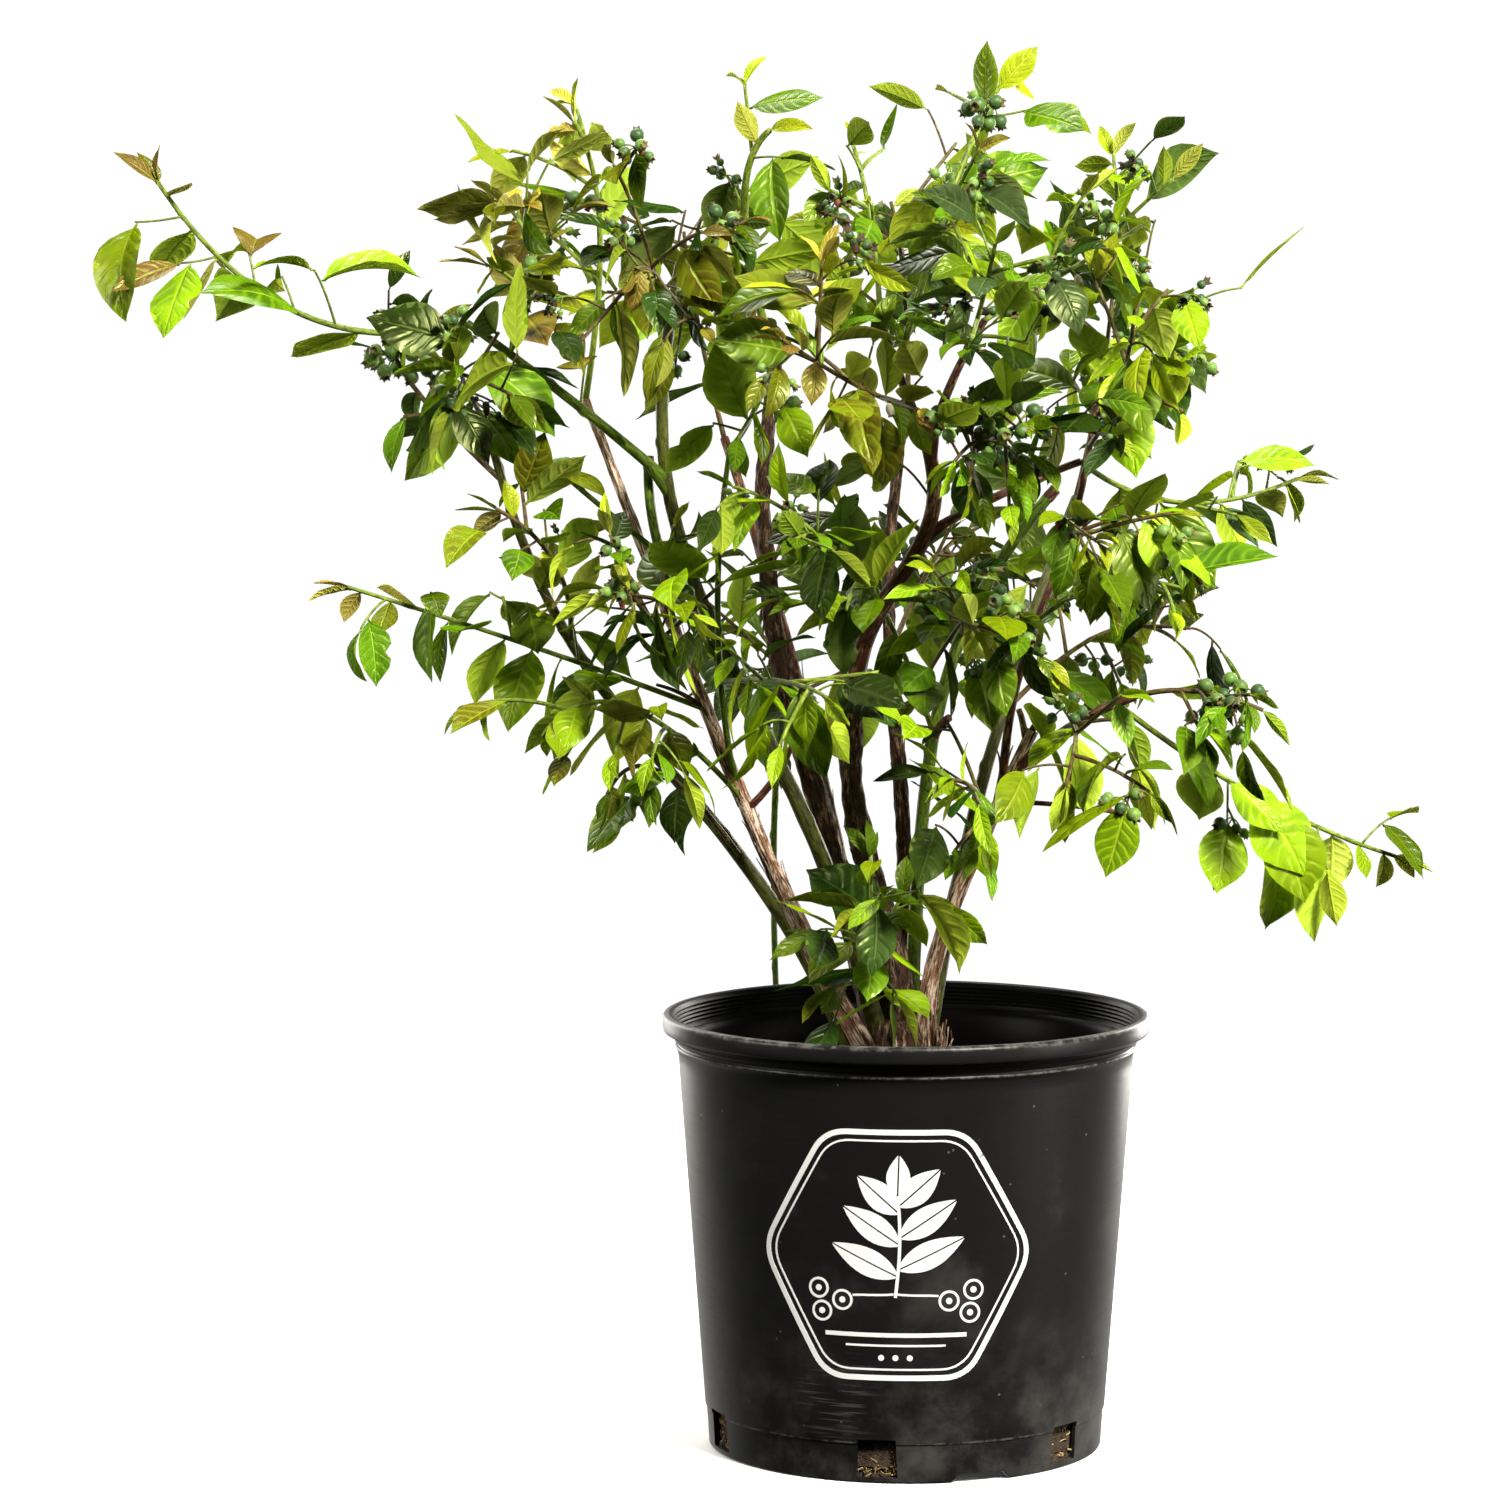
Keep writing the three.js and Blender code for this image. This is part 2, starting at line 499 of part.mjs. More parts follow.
// A leaf at a share of a line's length: where it starts, where it points and where it faces.
function leafAt(mass, line, t, turn, length, roll) {
  const { point, tangent, side, over } = frameAt(line, t);
  const radial = side.clone().multiplyScalar(Math.cos(turn)).addScaledVector(over, Math.sin(turn));
  const axis = tangent.clone().multiplyScalar(0.5 + 0.25 * roll())
    .addScaledVector(radial, 0.85)
    .add(new THREE.Vector3(0, 0, -mass.hang * (0.6 + 0.5 * roll())))
    .normalize();
  // The upper side turns up to the light, off the stem and out of the crown.
  const face = new THREE.Vector3(roll() - 0.5, roll() - 0.5, 0.4 + 0.5 * roll())
    .addScaledVector(radial, 0.8)
    .addScaledVector(outwardAt(point), 0.3);
  face.addScaledVector(axis, -face.dot(axis)).normalize();
  return { point, axis, face, length };
}

// Points over a leaf's blade, to test where it lies.
function bladePoints({ point, axis, face, length }) {
  const across = axis.clone().cross(face);
  const points = [];
  for (const [along, wide] of [[0.28, 0.7], [0.45, 1], [0.62, 0.85], [0.8, 0.5], [1, 0]]) {
    for (const hand of wide ? [-1, 0, 1] : [0]) {
      const out = hand * wide * length * LEAF_WIDTH * 0.5;
      points.push(point.clone().addScaledVector(axis, along * length).addScaledVector(across, out));
    }
  }
  return points;
}

// A leaf has room where its blade stays in the mass's space and clears limbs, twigs, berries and
// the leaves that are there already.
function hasRoom(leaf, line, grown) {
  const { blade } = leaf;
  const apart = leaf.length * LEAF_APART;
  return grown.leaves.every((other) => blade.every((point) => other.blade
    .every((taken) => taken.distanceTo(point) > apart)))
    && grown.berries.every(({ tip }) => blade.every((point) => tip.distanceTo(point)
      > BERRY_RADIUS + LIMB_CLEARANCE))
    && grown.lines.every((other) => other === line || blade.every((point) => distanceToChain(
      point, other.posts,
    ) > TWIG_RADIUS + LIMB_CLEARANCE))
    && free(grown.order, blade);
}

// The first of a few places round the stem where a leaf has room, or none.
function placeLeaf(line, grown, leafFor) {
  for (let trial = 0; trial < TRIALS; trial += 1) {
    const leaf = leafFor(trial * TRIAL_TURN);
    leaf.blade = bladePoints(leaf);
    if (hasRoom(leaf, line, grown)) {
      grown.leaves.push(leaf);
      return;
    }
  }
}

// Leaves stand alternately up a line, and two young ones end it.
function growLeaves(mass, line, bareShare, grown, roll) {
  const count = Math.max(1, Math.round((line.getLength() * (1 - bareShare)) / LEAF_PITCH));
  const start = roll() * 2 * Math.PI;
  for (let k = 0; k < 2; k += 1) {
    placeLeaf(line, grown, (turn) => youngLeaf(mass, line, start + k * Math.PI + turn, roll));
  }
  for (let k = count - 1; k >= 0; k -= 1) {
    const t = bareShare + ((1 - bareShare) * (k + 0.5)) / count;
    const size = mass.leaf * (0.8 + 0.2 * Math.sin(Math.PI * t)) * (0.9 + 0.2 * roll());
    placeLeaf(line, grown, (turn) => leafAt(mass, line, t, start + k * LEAF_TURN + turn, size, roll));
  }
}

function youngLeaf(mass, line, turn, roll) {
  const leaf = leafAt(mass, line, 0.985, turn, mass.leaf * YOUNG_LEAF, roll);
  leaf.axis.addScaledVector(line.getTangent(1), 0.9).normalize();
  leaf.face.addScaledVector(leaf.axis, -leaf.face.dot(leaf.axis)).normalize();
  return leaf;
}

const posted = (line) => Object.assign(line, { posts: line.getPoints(5) });

// A side twig, or null where it would leave the mass's space or touch a limb.
function sideTwig(mass, order, stem, k, roll) {
  const t = 0.22 + (0.68 * (k + 0.5)) / mass.twigs;
  const { point, tangent, side, over } = frameAt(stem, t);
  const reach = mass.reach * (0.75 + 0.5 * roll());
  const lift = new THREE.Vector3(0, 0, reach * (0.1 * roll() - 0.02));
  for (let trial = 0; trial < TRIALS; trial += 1) {
    const turn = k * GOLDEN_TURN + order + trial * TRIAL_TURN;
    const along = tangent.clone().multiplyScalar(0.5)
      .addScaledVector(side, 0.85 * Math.cos(turn))
      .addScaledVector(over, 0.85 * Math.sin(turn));
    const tip = point.clone().addScaledVector(along.normalize(), reach);
    const line = posted(new LimbLine(point, tip, lift));
    if (free(order, line.posts.slice(1))) {
      return line;
    }
  }
  return null;
}

// A berry hangs from the outer half of the stem on a stalk of its own.
function berryStalk(mass, order, stem, k, roll) {
  const t = 0.6 + (0.38 * k) / mass.berries;
  const { point, side, over } = frameAt(stem, t);
  const turn = k * GOLDEN_TURN + 1;
  const out = side.multiplyScalar(Math.cos(turn)).addScaledVector(over, Math.sin(turn));
  const tip = point.clone().addScaledVector(out, 13 + 5 * roll()).add(new THREE.Vector3(0, 0, -4));
  return free(order, [tip]) ? new LimbLine(point, tip, new THREE.Vector3(0, 0, 2)) : null;
}

// All that grows on a mass's stem: side twigs, then berries, then leaves where there is room.
function growMass(mass, order) {
  const roll = dice(GROWTH_SEED + order);
  const stem = posted(stems[order]);
  const counted = (count, growOne) => Array.from({ length: count }, (_, k) => growOne(
    mass, order, stem, k, roll,
  )).filter((line) => line);
  const twigs = counted(mass.twigs, sideTwig);
  const berries = counted(mass.berries ?? 0, berryStalk);
  const grown = { order, lines: [stem, ...twigs], berries, leaves: [] };
  growLeaves(mass, stem, BARE_STEM, grown, roll);
  twigs.forEach((line) => growLeaves(mass, line, BARE_TWIG, grown, roll));
  return grown;
}

// ---- Foliage solids ----

// A leaf of eight faces: an octahedron drawn out to a blade, folded along its midrib.
function leafGeometry({ point, axis, face, length }) {
  const geometry = new THREE.OctahedronGeometry(1);
  const place = geometry.attributes.position;
  const across = axis.clone().cross(face);
  const sunk = TWIG_RADIUS * 0.4; // the blade's foot starts inside the twig
  for (let i = 0; i < place.count; i += 1) {
    const end = place.getX(i);
    const onRib = Math.abs(place.getZ(i)) < 0.5 && Math.abs(end) < 0.5;
    const along = Math.abs(end) < 0.5 ? 0.46 * length : (end > 0 ? length : -sunk);
    const lift = place.getY(i) * LEAF_THICK * 0.5 * length - (onRib ? LEAF_FOLD * length : 0);
    const out = place.getZ(i) * LEAF_WIDTH * 0.5 * length;
    const corner = point.clone().addScaledVector(axis, along)
      .addScaledVector(face, lift + (end > 0.5 ? -LEAF_DROOP * length : 0))
      .addScaledVector(across, out);
    place.setXYZ(i, corner.x, corner.y, corner.z);
  }
  return geometry;
}

function berryGeometries(line) {
  const stalk = limbGeometry(line, () => STALK_RADIUS, TWIG_SIDES, 1);
  const fruit = new THREE.IcosahedronGeometry(BERRY_RADIUS, 0);
  const end = line.tip;
  return [stalk, fruit.translate(end.x, end.y, end.z)];
}

function makeMass(mass, order, cutters) {
  const { lines: [stem, ...twigs], leaves, berries } = growMass(mass, order);
  const stemSteps = Math.max(3, Math.round(stem.getLength() / STEM_STRETCH));
  const geometries = [
    limbGeometry(stem, (t) => STEM_RADIUS * (1.1 - 0.4 * t), TWIG_SIDES, stemSteps),
    ...twigs.map((line) => limbGeometry(line, (t) => TWIG_RADIUS * (1 - 0.2 * t), TWIG_SIDES, 1)),
    ...leaves.map((leaf) => leafGeometry(leaf)),
    ...berries.flatMap((line) => berryGeometries(line)),
  ];
  let solid = geometries.map((geometry) => solidOf(geometry))
    .reduce((whole, piece) => whole.add(piece));
  for (const cutter of cutters) {
    solid = solid.subtract(cutter);
  }
  return wholeOf(solid.asOriginal().simplify(MERGE_TOLERANCE));
}

// ---- The bush ----

const looks = {
  pot: { color: 0x17181a, roughness: 0.42 },
  soil: { color: 0x3a2a1c, roughness: 0.95 },
  stool: { color: 0x8a6a4d, roughness: 0.9 },
  cane: { color: 0x6b5138, roughness: 0.8 },
  bough: { color: 0x6a7c3a, roughness: 0.6 },
  foliage: { color: 0x5f9a2c, roughness: 0.45 },
};

function makeBush() {
  const bush = new THREE.Group();
  bush.add(meshOf('pot', makePot(), looks.pot));
  bush.add(meshOf('soil', makeSoil(), looks.soil));
  bush.add(meshOf('crown_stool', makeStool(), looks.stool));
  const { made, cutters } = makeLimbs(makeStool(SETTLE));
  for (const [name, solid] of made) {
    bush.add(meshOf(name, solid, limbs.get(name).on ? looks.bough : looks.cane));
  }
  masses.forEach((mass, order) => {
    bush.add(meshOf(mass.name, makeMass(mass, order, cutters), looks.foliage));
  });
  return bush;
}

export default makeBush();
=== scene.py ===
"""A highbush blueberry in a three-gallon nursery pot.

Sizes are in millimetres here and in metres in Blender. The origin is the middle of the pot's
underside, +X is the bush's right side and -Y its front. The bush grows by the same seeded rule
as the solids do, carried on to finer twigs.
"""
import json
import math

import bpy
import numpy as np
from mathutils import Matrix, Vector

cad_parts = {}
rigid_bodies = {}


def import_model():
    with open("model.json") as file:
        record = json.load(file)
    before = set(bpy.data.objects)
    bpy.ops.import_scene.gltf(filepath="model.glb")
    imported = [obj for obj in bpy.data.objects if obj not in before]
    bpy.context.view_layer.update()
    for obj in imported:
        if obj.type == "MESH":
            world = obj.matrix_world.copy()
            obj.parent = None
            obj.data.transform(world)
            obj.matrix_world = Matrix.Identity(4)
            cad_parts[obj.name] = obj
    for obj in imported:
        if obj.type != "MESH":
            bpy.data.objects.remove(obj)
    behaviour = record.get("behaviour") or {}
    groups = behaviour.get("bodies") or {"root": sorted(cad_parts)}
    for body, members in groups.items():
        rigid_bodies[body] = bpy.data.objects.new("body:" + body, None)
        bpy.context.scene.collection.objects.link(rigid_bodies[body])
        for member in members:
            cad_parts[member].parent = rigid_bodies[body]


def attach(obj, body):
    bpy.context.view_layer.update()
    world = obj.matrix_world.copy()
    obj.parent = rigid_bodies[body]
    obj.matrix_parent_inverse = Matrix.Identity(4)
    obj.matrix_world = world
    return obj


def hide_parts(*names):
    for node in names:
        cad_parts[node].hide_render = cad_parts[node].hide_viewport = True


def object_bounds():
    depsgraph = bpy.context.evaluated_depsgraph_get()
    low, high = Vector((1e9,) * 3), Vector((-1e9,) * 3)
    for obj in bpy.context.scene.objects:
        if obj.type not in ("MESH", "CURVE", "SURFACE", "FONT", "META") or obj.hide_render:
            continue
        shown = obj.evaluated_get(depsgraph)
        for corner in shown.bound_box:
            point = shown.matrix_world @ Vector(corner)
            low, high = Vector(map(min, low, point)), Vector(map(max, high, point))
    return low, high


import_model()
cad_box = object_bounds()

MM = 0.001
TAU = 2 * math.pi

# ---- Sizes shared with the solids ----

POT_HEIGHT = 250
RIM_RADIUS = 140
RIM_CREST = 137
RIM_BAND = 240
NECK_HEIGHT = 232
NECK_RADIUS = 131.5
SHOULDER_RADIUS = 115.6
FOOT_RADIUS = 113.4
FOOT_HEIGHT = 22.5
FLOOR_TOP = 8
FLOOR_UNDER = 5.5
BOSS_RADIUS = 40
POT_WALL = 2.4
WINDOWS, WINDOW_WIDTH, WINDOW_SILL, WINDOW_HEAD, WINDOW_ANGLE = 6, 23, 3, 25, -9.5
NOTCHES, NOTCH_WIDTH, NOTCH_TOP_WIDTH, NOTCH_HEIGHT, NOTCH_ANGLE = 3, 38, 25, 5, 20.5
SOIL_LEVEL = 205
MOUTH_RADIUS = 118
STOOL_HEIGHT = 42
STOOL_RADIUS = 30
STOOL_TOP_RADIUS = 17
CANE_SUNK = 6
ROOT_FLARE = 0.4
FLARE_FADE = 14
GROWTH_SEED = 2024
GOLDEN_TURN = math.radians(137.5)
LEAF_TURN = math.radians(144)
TRIAL_TURN = 1.05
TRIALS = 6
BARE_STEM = 0.16
BARE_TWIG = 0.3
LEAF_WIDTH = 0.5
TWIG_RADIUS = 1.3
BERRY_RADIUS = 4.6
LIMB_CLEARANCE = 2.5
SPACE_MARGIN = 0.04
MIDDLE = np.array([0, 0, 420.0])

# ---- Sizes of the finer growth ----

FINE_SEED = 2824
LEAF_PITCH = 12.5  # stem length from leaf to leaf
LEAF_APART = 0.1  # least gap between leaves, as a share of their length
LEAF_SCALE = 0.92  # real leaves against the fewer, larger ones of the solids
TIP_SHRINK = 0.5  # how much shorter the last leaves of a long shoot are
TIP_SHARE = 0.985  # where the youngest leaves leave their line
BARE_SPUR = 0.45
TIP_ZONE = 0.78  # of a stem, from where its leaves have the tints of its tip
SPUR_SLACK, LEAF_SLACK, FRUIT_SLACK = 0.06, 0.12, 0.3  # how far each reaches into other masses
SPUR_PITCH = 21  # line length from one fine side shoot to the next
SPUR_LENGTH = 27
SPUR_RADIUS = 0.8
LIMB_SHOOTS = [  # stretches of limbs that carry fine side shoots of a mass: mass, limb, from and to
    ("centre_inner", "bough_centre", 0.25, 0.95),
    ("centre_inner", "bough_centre_right", 0.05, 0.6),
    ("front_centre", "bough_centre", 0.4, 0.98),
    ("front_centre", "bough_centre_left", 0.1, 0.6),
    ("centre_mid", "trunk_centre", 0.75, 1),
    ("right_inner", "bough_right_thin", 0.45, 0.8),
    ("right_mid_berries", "bough_right_thin", 0.25, 0.6),
    ("bronze_top", "bough_upper_left", 0.4, 0.95),
    ("left_dark", "cane_left", 0.78, 1),
    ("left_mid", "cane_peeling", 0.5, 0.8),
    ("left_fan", "cane_left", 0.4, 0.6),
    ("inner_left", "cane_green", 0.75, 1),
    ("low_centre", "cane_right", 0.5, 0.8),
    ("right_low", "bough_right_brown", 0.1, 0.8),
    ("right_mid_shoot", "bough_centre_far", 0.4, 1),
    ("centre_mid", "bough_centre", 0.05, 0.6),
    ("left_low", "cane_left", 0.3, 0.5),
]
LIMB_SHOOT_PITCH = 14
BUILD = {  # leaves that differ: added to their width over length, and their length's factor
    "right_long_shoot": (0.2, 0.92), "low_left_shoot": (0.14, 1.0), "long_left_shoot": (0.06, 1.22),
    "base_sprout": (0.05, 1.0), "left_dark": (0.08, 1.1),
}

# Canes rise from the stool: foot and tip of the middle line, the bow at its middle, the sway of
# its two halves, the radius at foot and tip, and the bark.
CANES = [
    ("trunk_left", (-6, 9), (-75, 90, 623), (-23, -12, -1), (6, -5, 2), 8.2, 3.4, "fibrous"),
    ("trunk_centre", (-1, -2), (-30, -18, 437), (-3, 3, 0), (6, 0, 0), 8.6, 5.6, "fibrous"),
    ("cane_peeling", (-13, -13), (-185, 50, 601), (-8, -19, -1), (-2, -3, 0), 5.4, 2.3, "peeling"),
    ("cane_left", (-23, 3), (-240, 15, 585), (-9, 6, -5), (11, -1, 6), 4.8, 2.4, "olive"),
    ("cane_green", (-9, -8), (-129, 20, 680), (-28, -4, -4), (18, -3, -1), 5.2, 3.2, "olive"),
    ("cane_upright", (4, 12), (87, 45, 549), (-32, -9, 11), (5, -1, -3), 4.4, 3.2, "green"),
    ("cane_right", (12, -6), (71, -24, 415), (-13, 1, 5), (-3, 1, 1), 5.4, 3.2, "peeling"),
    ("cane_back_left", (-14, 15), (-105, 150, 575), (6, -28, 10), (0, 4, 0), 5, 2.6, "russet"),
    ("cane_back_middle", (-3, 19), (5, 150, 600), (-6, -30, 8), (6, 0, 0), 5, 2.6, "fibrous"),
    ("cane_back_right", (10, 15), (105, 140, 540), (-10, -26, 8), (0, 4, 0), 4.8, 2.6, "olive"),
]

# Boughs leave a cane, or another bough, at a share of its length.
BOUGHS = [
    ("bough_upper_left", "cane_green", 0.74, (-250, -20, 646), (2, -3, 1), (0, 0, 0), 3.2, 2.2, "green"),
    ("bough_stub", "cane_green", 0.5, (-148, 18, 569), (-14, 0, -4), (0, 0, 0), 3, 2.8, "green"),
    ("bough_slender", "cane_peeling", 0.45, (-101, -40, 575), (-8, -8, 0), (0, 0, 0), 2, 1.5, "green"),
    ("bough_centre", "trunk_centre", 1, (10, -45, 578), (7, 0, -3), (-8, 0, 0), 5.4, 3.8, "russet"),
    ("bough_centre_left", "bough_centre", 1, (-17, -55, 648), (-1, 0, 0), (0, 0, 0), 3, 2, "russet"),
    ("bough_centre_right", "bough_centre", 0.98, (41, -65, 648), (-3, -1, 1), (0, 0, 0), 3, 2, "russet"),
    ("bough_centre_far", "bough_centre", 0.66, (97, -32, 568), (-1, -1, 2), (0, 0, 0), 2.8, 2, "russet"),
    ("bough_right_brown", "cane_right", 0.88, (128, -45, 436), (-2, 0, 4), (0, 0, 0), 3, 2.4, "russet"),
    ("bough_right_thin", "cane_right", 0.8, (107, -5, 599), (-2, 2, 0), (-5, -2, 1), 2.7, 1.7, "russet"),
]

PRUNED = ("cane_upright", "bough_stub")  # cut off at the tip, and brown there

# Pruned ends and thin bare branches, too small for the solids: limb, share of its length, tip,
# bow, radius at foot and tip, and the bark. The last is a switch that droops behind the pot.
SNAGS = [
    ("cane_peeling", 0.55, (-143, -12, 440), (0, 0, 2), 1.6, 0.9, "russet"),
    ("cane_peeling", 0.405, (-65, -20, 408), (2, 0, -2), 2.4, 1.7, "russet"),
    ("cane_right", 0.962, (63, -26, 427), (0, 0, 2), 2.2, 1.8, "peeling"),
    ("cane_right", 0.983, (77, -29, 423), (0, 0, 2), 2.1, 1.8, "russet"),
    ("cane_right", 0.785, (129, -34, 367), (0, 0, 2), 1.6, 1.1, "russet"),
    ("cane_upright", 0.54, (25, 12, 419), (0, 0, 2), 2.6, 2.3, "russet"),
    ("cane_green", 0.62, (-229, -5, 588), (3, 0, -4), 2.0, 1.2, "green"),
    ("cane_back_left", 0.6, (-73.5, 160, 231), (-6, 44, 30), 2.3, 1.9, "green"),
]

# Masses of foliage: limb, share of its length, via, tip, girth, twigs, reach, hang, leaf and
# berries as in the solids, then the leaf pitch against LEAF_PITCH, the stem's radius and look, and
# the tints of the leaves along the mass and at its tips.
MASSES = [
    ("long_left_shoot", "bough_upper_left", 1, (-345, -30, 652), (-425, -20, 727), 84, 0, 0, 1.1, 64, 0,
     1.5, 2, "green", "gmgb", "bob"),
    ("low_left_shoot", "cane_peeling", 0.55, (-212, -20, 462), (-316, -60, 499), 78, 1, 36, 1.1, 56, 0,
     1.4, 1.7, "green", "mgm", "yo"),
    ("left_cluster", "cane_left", 0.93, (-284, 28, 610), (-300, 62, 645), 70, 3, 36, 0.5, 46, 4,
     1.2, 1.7, "brown", "md", "g"),
    ("left_dark", "cane_left", 1, (-248, -40, 608), (-252, -88, 624), 74, 3, 46, 0.7, 70, 0,
     0.6, 1.7, "brown", "ddm", "m"),
    ("bronze_top", "bough_upper_left", 0.8, (-212, -30, 675), (-226, -40, 712), 76, 3, 42, 0.3, 64, 0,
     0.65, 1.7, "green", "obm", "yb"),
    ("upper_left", "cane_peeling", 1, (-176, 30, 700), (-190, 10, 760), 76, 4, 50, 0.6, 60, 0,
     1.6, 2, "green", "omb", "yl"),
    ("inner_left", "cane_green", 0.93, (-142, -25, 672), (-154, -75, 676), 80, 5, 54, 0.7, 62, 0,
     0.7, 1.7, "brown", "dmo", "b"),
    ("upright_top", "trunk_left", 1, (-93, 60, 710), (-78, 40, 756), 76, 3, 52, 0.8, 62, 0,
     3.0, 2.8, "green", "mgd", "l"),
    ("top_centre", "bough_centre_left", 1, (-22, -40, 704), (-33, -20, 750), 62, 3, 42, 0.5, 48, 0,
     2.1, 1.7, "green", "gm", "l"),
    ("tall_shoot", "bough_centre_left", 0.6, (28, -30, 730), (60, 20, 790), 72, 2, 40, 0.7, 60, 3,
     1.8, 2.1, "green", "mgd", "bl"),
    ("right_top", "bough_centre_right", 1, (92, -10, 676), (138, 20, 703), 78, 4, 54, 0.7, 62, 0,
     1.1, 1.7, "green", "mdg", "l"),
    ("outer_right", "bough_right_thin", 1, (152, 10, 635), (170, 30, 678), 70, 3, 44, 0.6, 60, 0,
     1.5, 1.7, "green", "glm", "yl"),
    ("right_front", "bough_right_thin", 0.9, (117, -60, 612), (122, -100, 655), 78, 4, 52, 0.9, 66, 0,
     0.85, 1.7, "brown", "mgl", "g"),
    ("centre_upper", "bough_centre_right", 0.7, (36, -95, 650), (44, -125, 690), 76, 4, 52, 0.8, 58, 0,
     0.6, 1.7, "green", "dms", "m"),
    ("centre_inner", "bough_centre", 0.85, (42, -75, 580), (62, -118, 592), 78, 5, 54, 0.8, 60, 3,
     0.4, 1.7, "brown", "dmg", "g"),
    ("front_centre", "bough_centre_left", 0.3, (-30, -105, 612), (-72, -150, 638), 76, 3, 50, 0.6, 58, 0,
     0.8, 1.7, "brown", "mlo", "yb"),
    ("right_mid_shoot", "bough_centre_far", 1, (157, 10, 543), (226, 30, 556), 76, 2, 44, 1, 62, 0,
     1.2, 1.7, "green", "mgs", "lo"),
    ("right_mid_berries", "bough_right_thin", 0.45, (116, -40, 500), (160, -60, 495), 72, 3, 44, 0.8, 58, 3,
     0.8, 1.7, "green", "mdg", "l"),
    ("right_inner", "bough_right_thin", 0.65, (92, -70, 530), (100, -120, 528), 70, 3, 44, 0.9, 56, 0,
     0.6, 1.7, "brown", "mg", "l"),
    ("right_low", "bough_right_brown", 0.4, (92, -80, 420), (84, -120, 392), 74, 3, 44, 1.1, 66, 0,
     0.9, 1.7, "brown", "mmg", "g"),
    ("right_berries", "bough_right_brown", 1, (160, -58, 440), (198, -66, 430), 68, 2, 38, 1, 60, 4,
     1.2, 1.7, "brown", "mgm", "m"),
    ("right_long_shoot", "bough_right_brown", 0.86, (200, -15, 376), (282, 0, 340), 74, 0, 0, 1.2, 60, 0,
     1.5, 1.8, "green", "gmg", "gl"),
    ("low_centre", "cane_right", 0.6, (40, -75, 378), (22, -120, 396), 70, 3, 42, 1, 58, 0,
     0.8, 1.7, "brown", "mdg", "g"),
    ("base_sprout", "trunk_centre", 0.22, (-18, -62, 285), (-22, -78, 350), 76, 3, 42, 1.1, 58, 0,
     1, 1.7, "green", "dmgm", "m"),
    ("left_low", "cane_left", 0.33, (-141, -30, 392), (-170, -60, 382), 58, 1, 30, 1, 54, 0,
     1.5, 1.7, "brown", "md", "m"),
    ("left_fan", "cane_peeling", 0.42, (-160, -60, 432), (-205, -100, 418), 76, 4, 50, 1, 60, 0,
     1.2, 1.7, "green", "mgo", "g"),
    ("left_mid", "cane_peeling", 0.62, (-145, -60, 480), (-160, -120, 505), 76, 4, 50, 0.8, 58, 0,
     0.8, 1.7, "brown", "mgd", "l"),
    ("left_upper_mid", "cane_left", 0.7, (-200, -30, 510), (-232, -50, 542), 68, 3, 42, 0.7, 56, 0,
     0.7, 1.7, "brown", "mo", "lb"),
    ("slender", "bough_slender", 1, (-90, -62, 592), (-86, -92, 606), 60, 1, 34, 1, 66, 0,
     0.6, 1.7, "green", "gm", "m"),
    ("front_lime", "bough_slender", 0.3, (-72, -90, 448), (-48, -150, 444), 74, 3, 46, 1.1, 64, 0,
     1.05, 1.7, "green", "mgdgm", "g"),
    ("centre_mid", "cane_upright", 0.55, (-28, -50, 508), (-66, -125, 528), 76, 4, 52, 0.9, 60, 0,
     0.7, 1.7, "green", "dmg", "m"),
    ("centre_right_mid", "cane_upright", 0.72, (30, -60, 480), (36, -125, 478), 78, 4, 54, 0.9, 60, 0,
     0.7, 1.7, "brown", "mdg", "l"),
    ("back_left_low", "cane_back_left", 0.5, (-70, 120, 440), (-95, 175, 470), 86, 4, 58, 0.9, 64, 0,
     0.9, 1.7, "brown", "dms", "m"),
    ("back_left_top", "cane_back_left", 1, (-122, 160, 650), (-130, 165, 706), 86, 5, 58, 0.8, 64, 0,
     1.2, 1.7, "brown", "mdg", "l"),
    ("back_middle_low", "cane_back_middle", 0.6, (20, 150, 500), (40, 200, 510), 86, 4, 58, 0.9, 64, 0,
     0.7, 1.7, "brown", "dms", "m"),
    ("back_middle_top", "cane_back_middle", 1, (2, 150, 670), (-6, 140, 716), 86, 5, 58, 0.8, 64, 0,
     0.9, 1.7, "brown", "mdg", "l"),
    ("back_right_low", "cane_back_right", 0.6, (120, 120, 460), (165, 140, 455), 86, 4, 56, 0.9, 64, 0,
     1.2, 1.7, "brown", "dms", "g"),
    ("back_right_top", "cane_back_right", 1, (122, 150, 620), (128, 140, 690), 86, 5, 56, 0.8, 64, 0,
     0.9, 1.7, "brown", "mgd", "l"),
]
MASS_KEYS = ("name on at via tip girth twigs reach hang leaf berries"
             " pitch stem_radius stem_look body_tints tip_tints").split()
masses = [dict(zip(MASS_KEYS, row)) for row in MASSES]

FRUITFUL = ("upright_top", "top_centre", "inner_left", "right_top", "centre_upper", "centre_inner",
            "left_dark", "right_inner", "right_mid_berries", "back_middle_top", "centre_right_mid")
BARREN = ("base_sprout", "long_left_shoot", "low_left_shoot", "front_lime", "left_fan", "low_centre")
DRIED_SHARE = 0.25  # of the clusters, those with a dried flower
FRUIT_TOP = 738  # no berries on the young shoots over this height
BLOSSOMS = (("front_centre", 0.3), ("centre_upper", 0.35), ("right_top", 0.5))

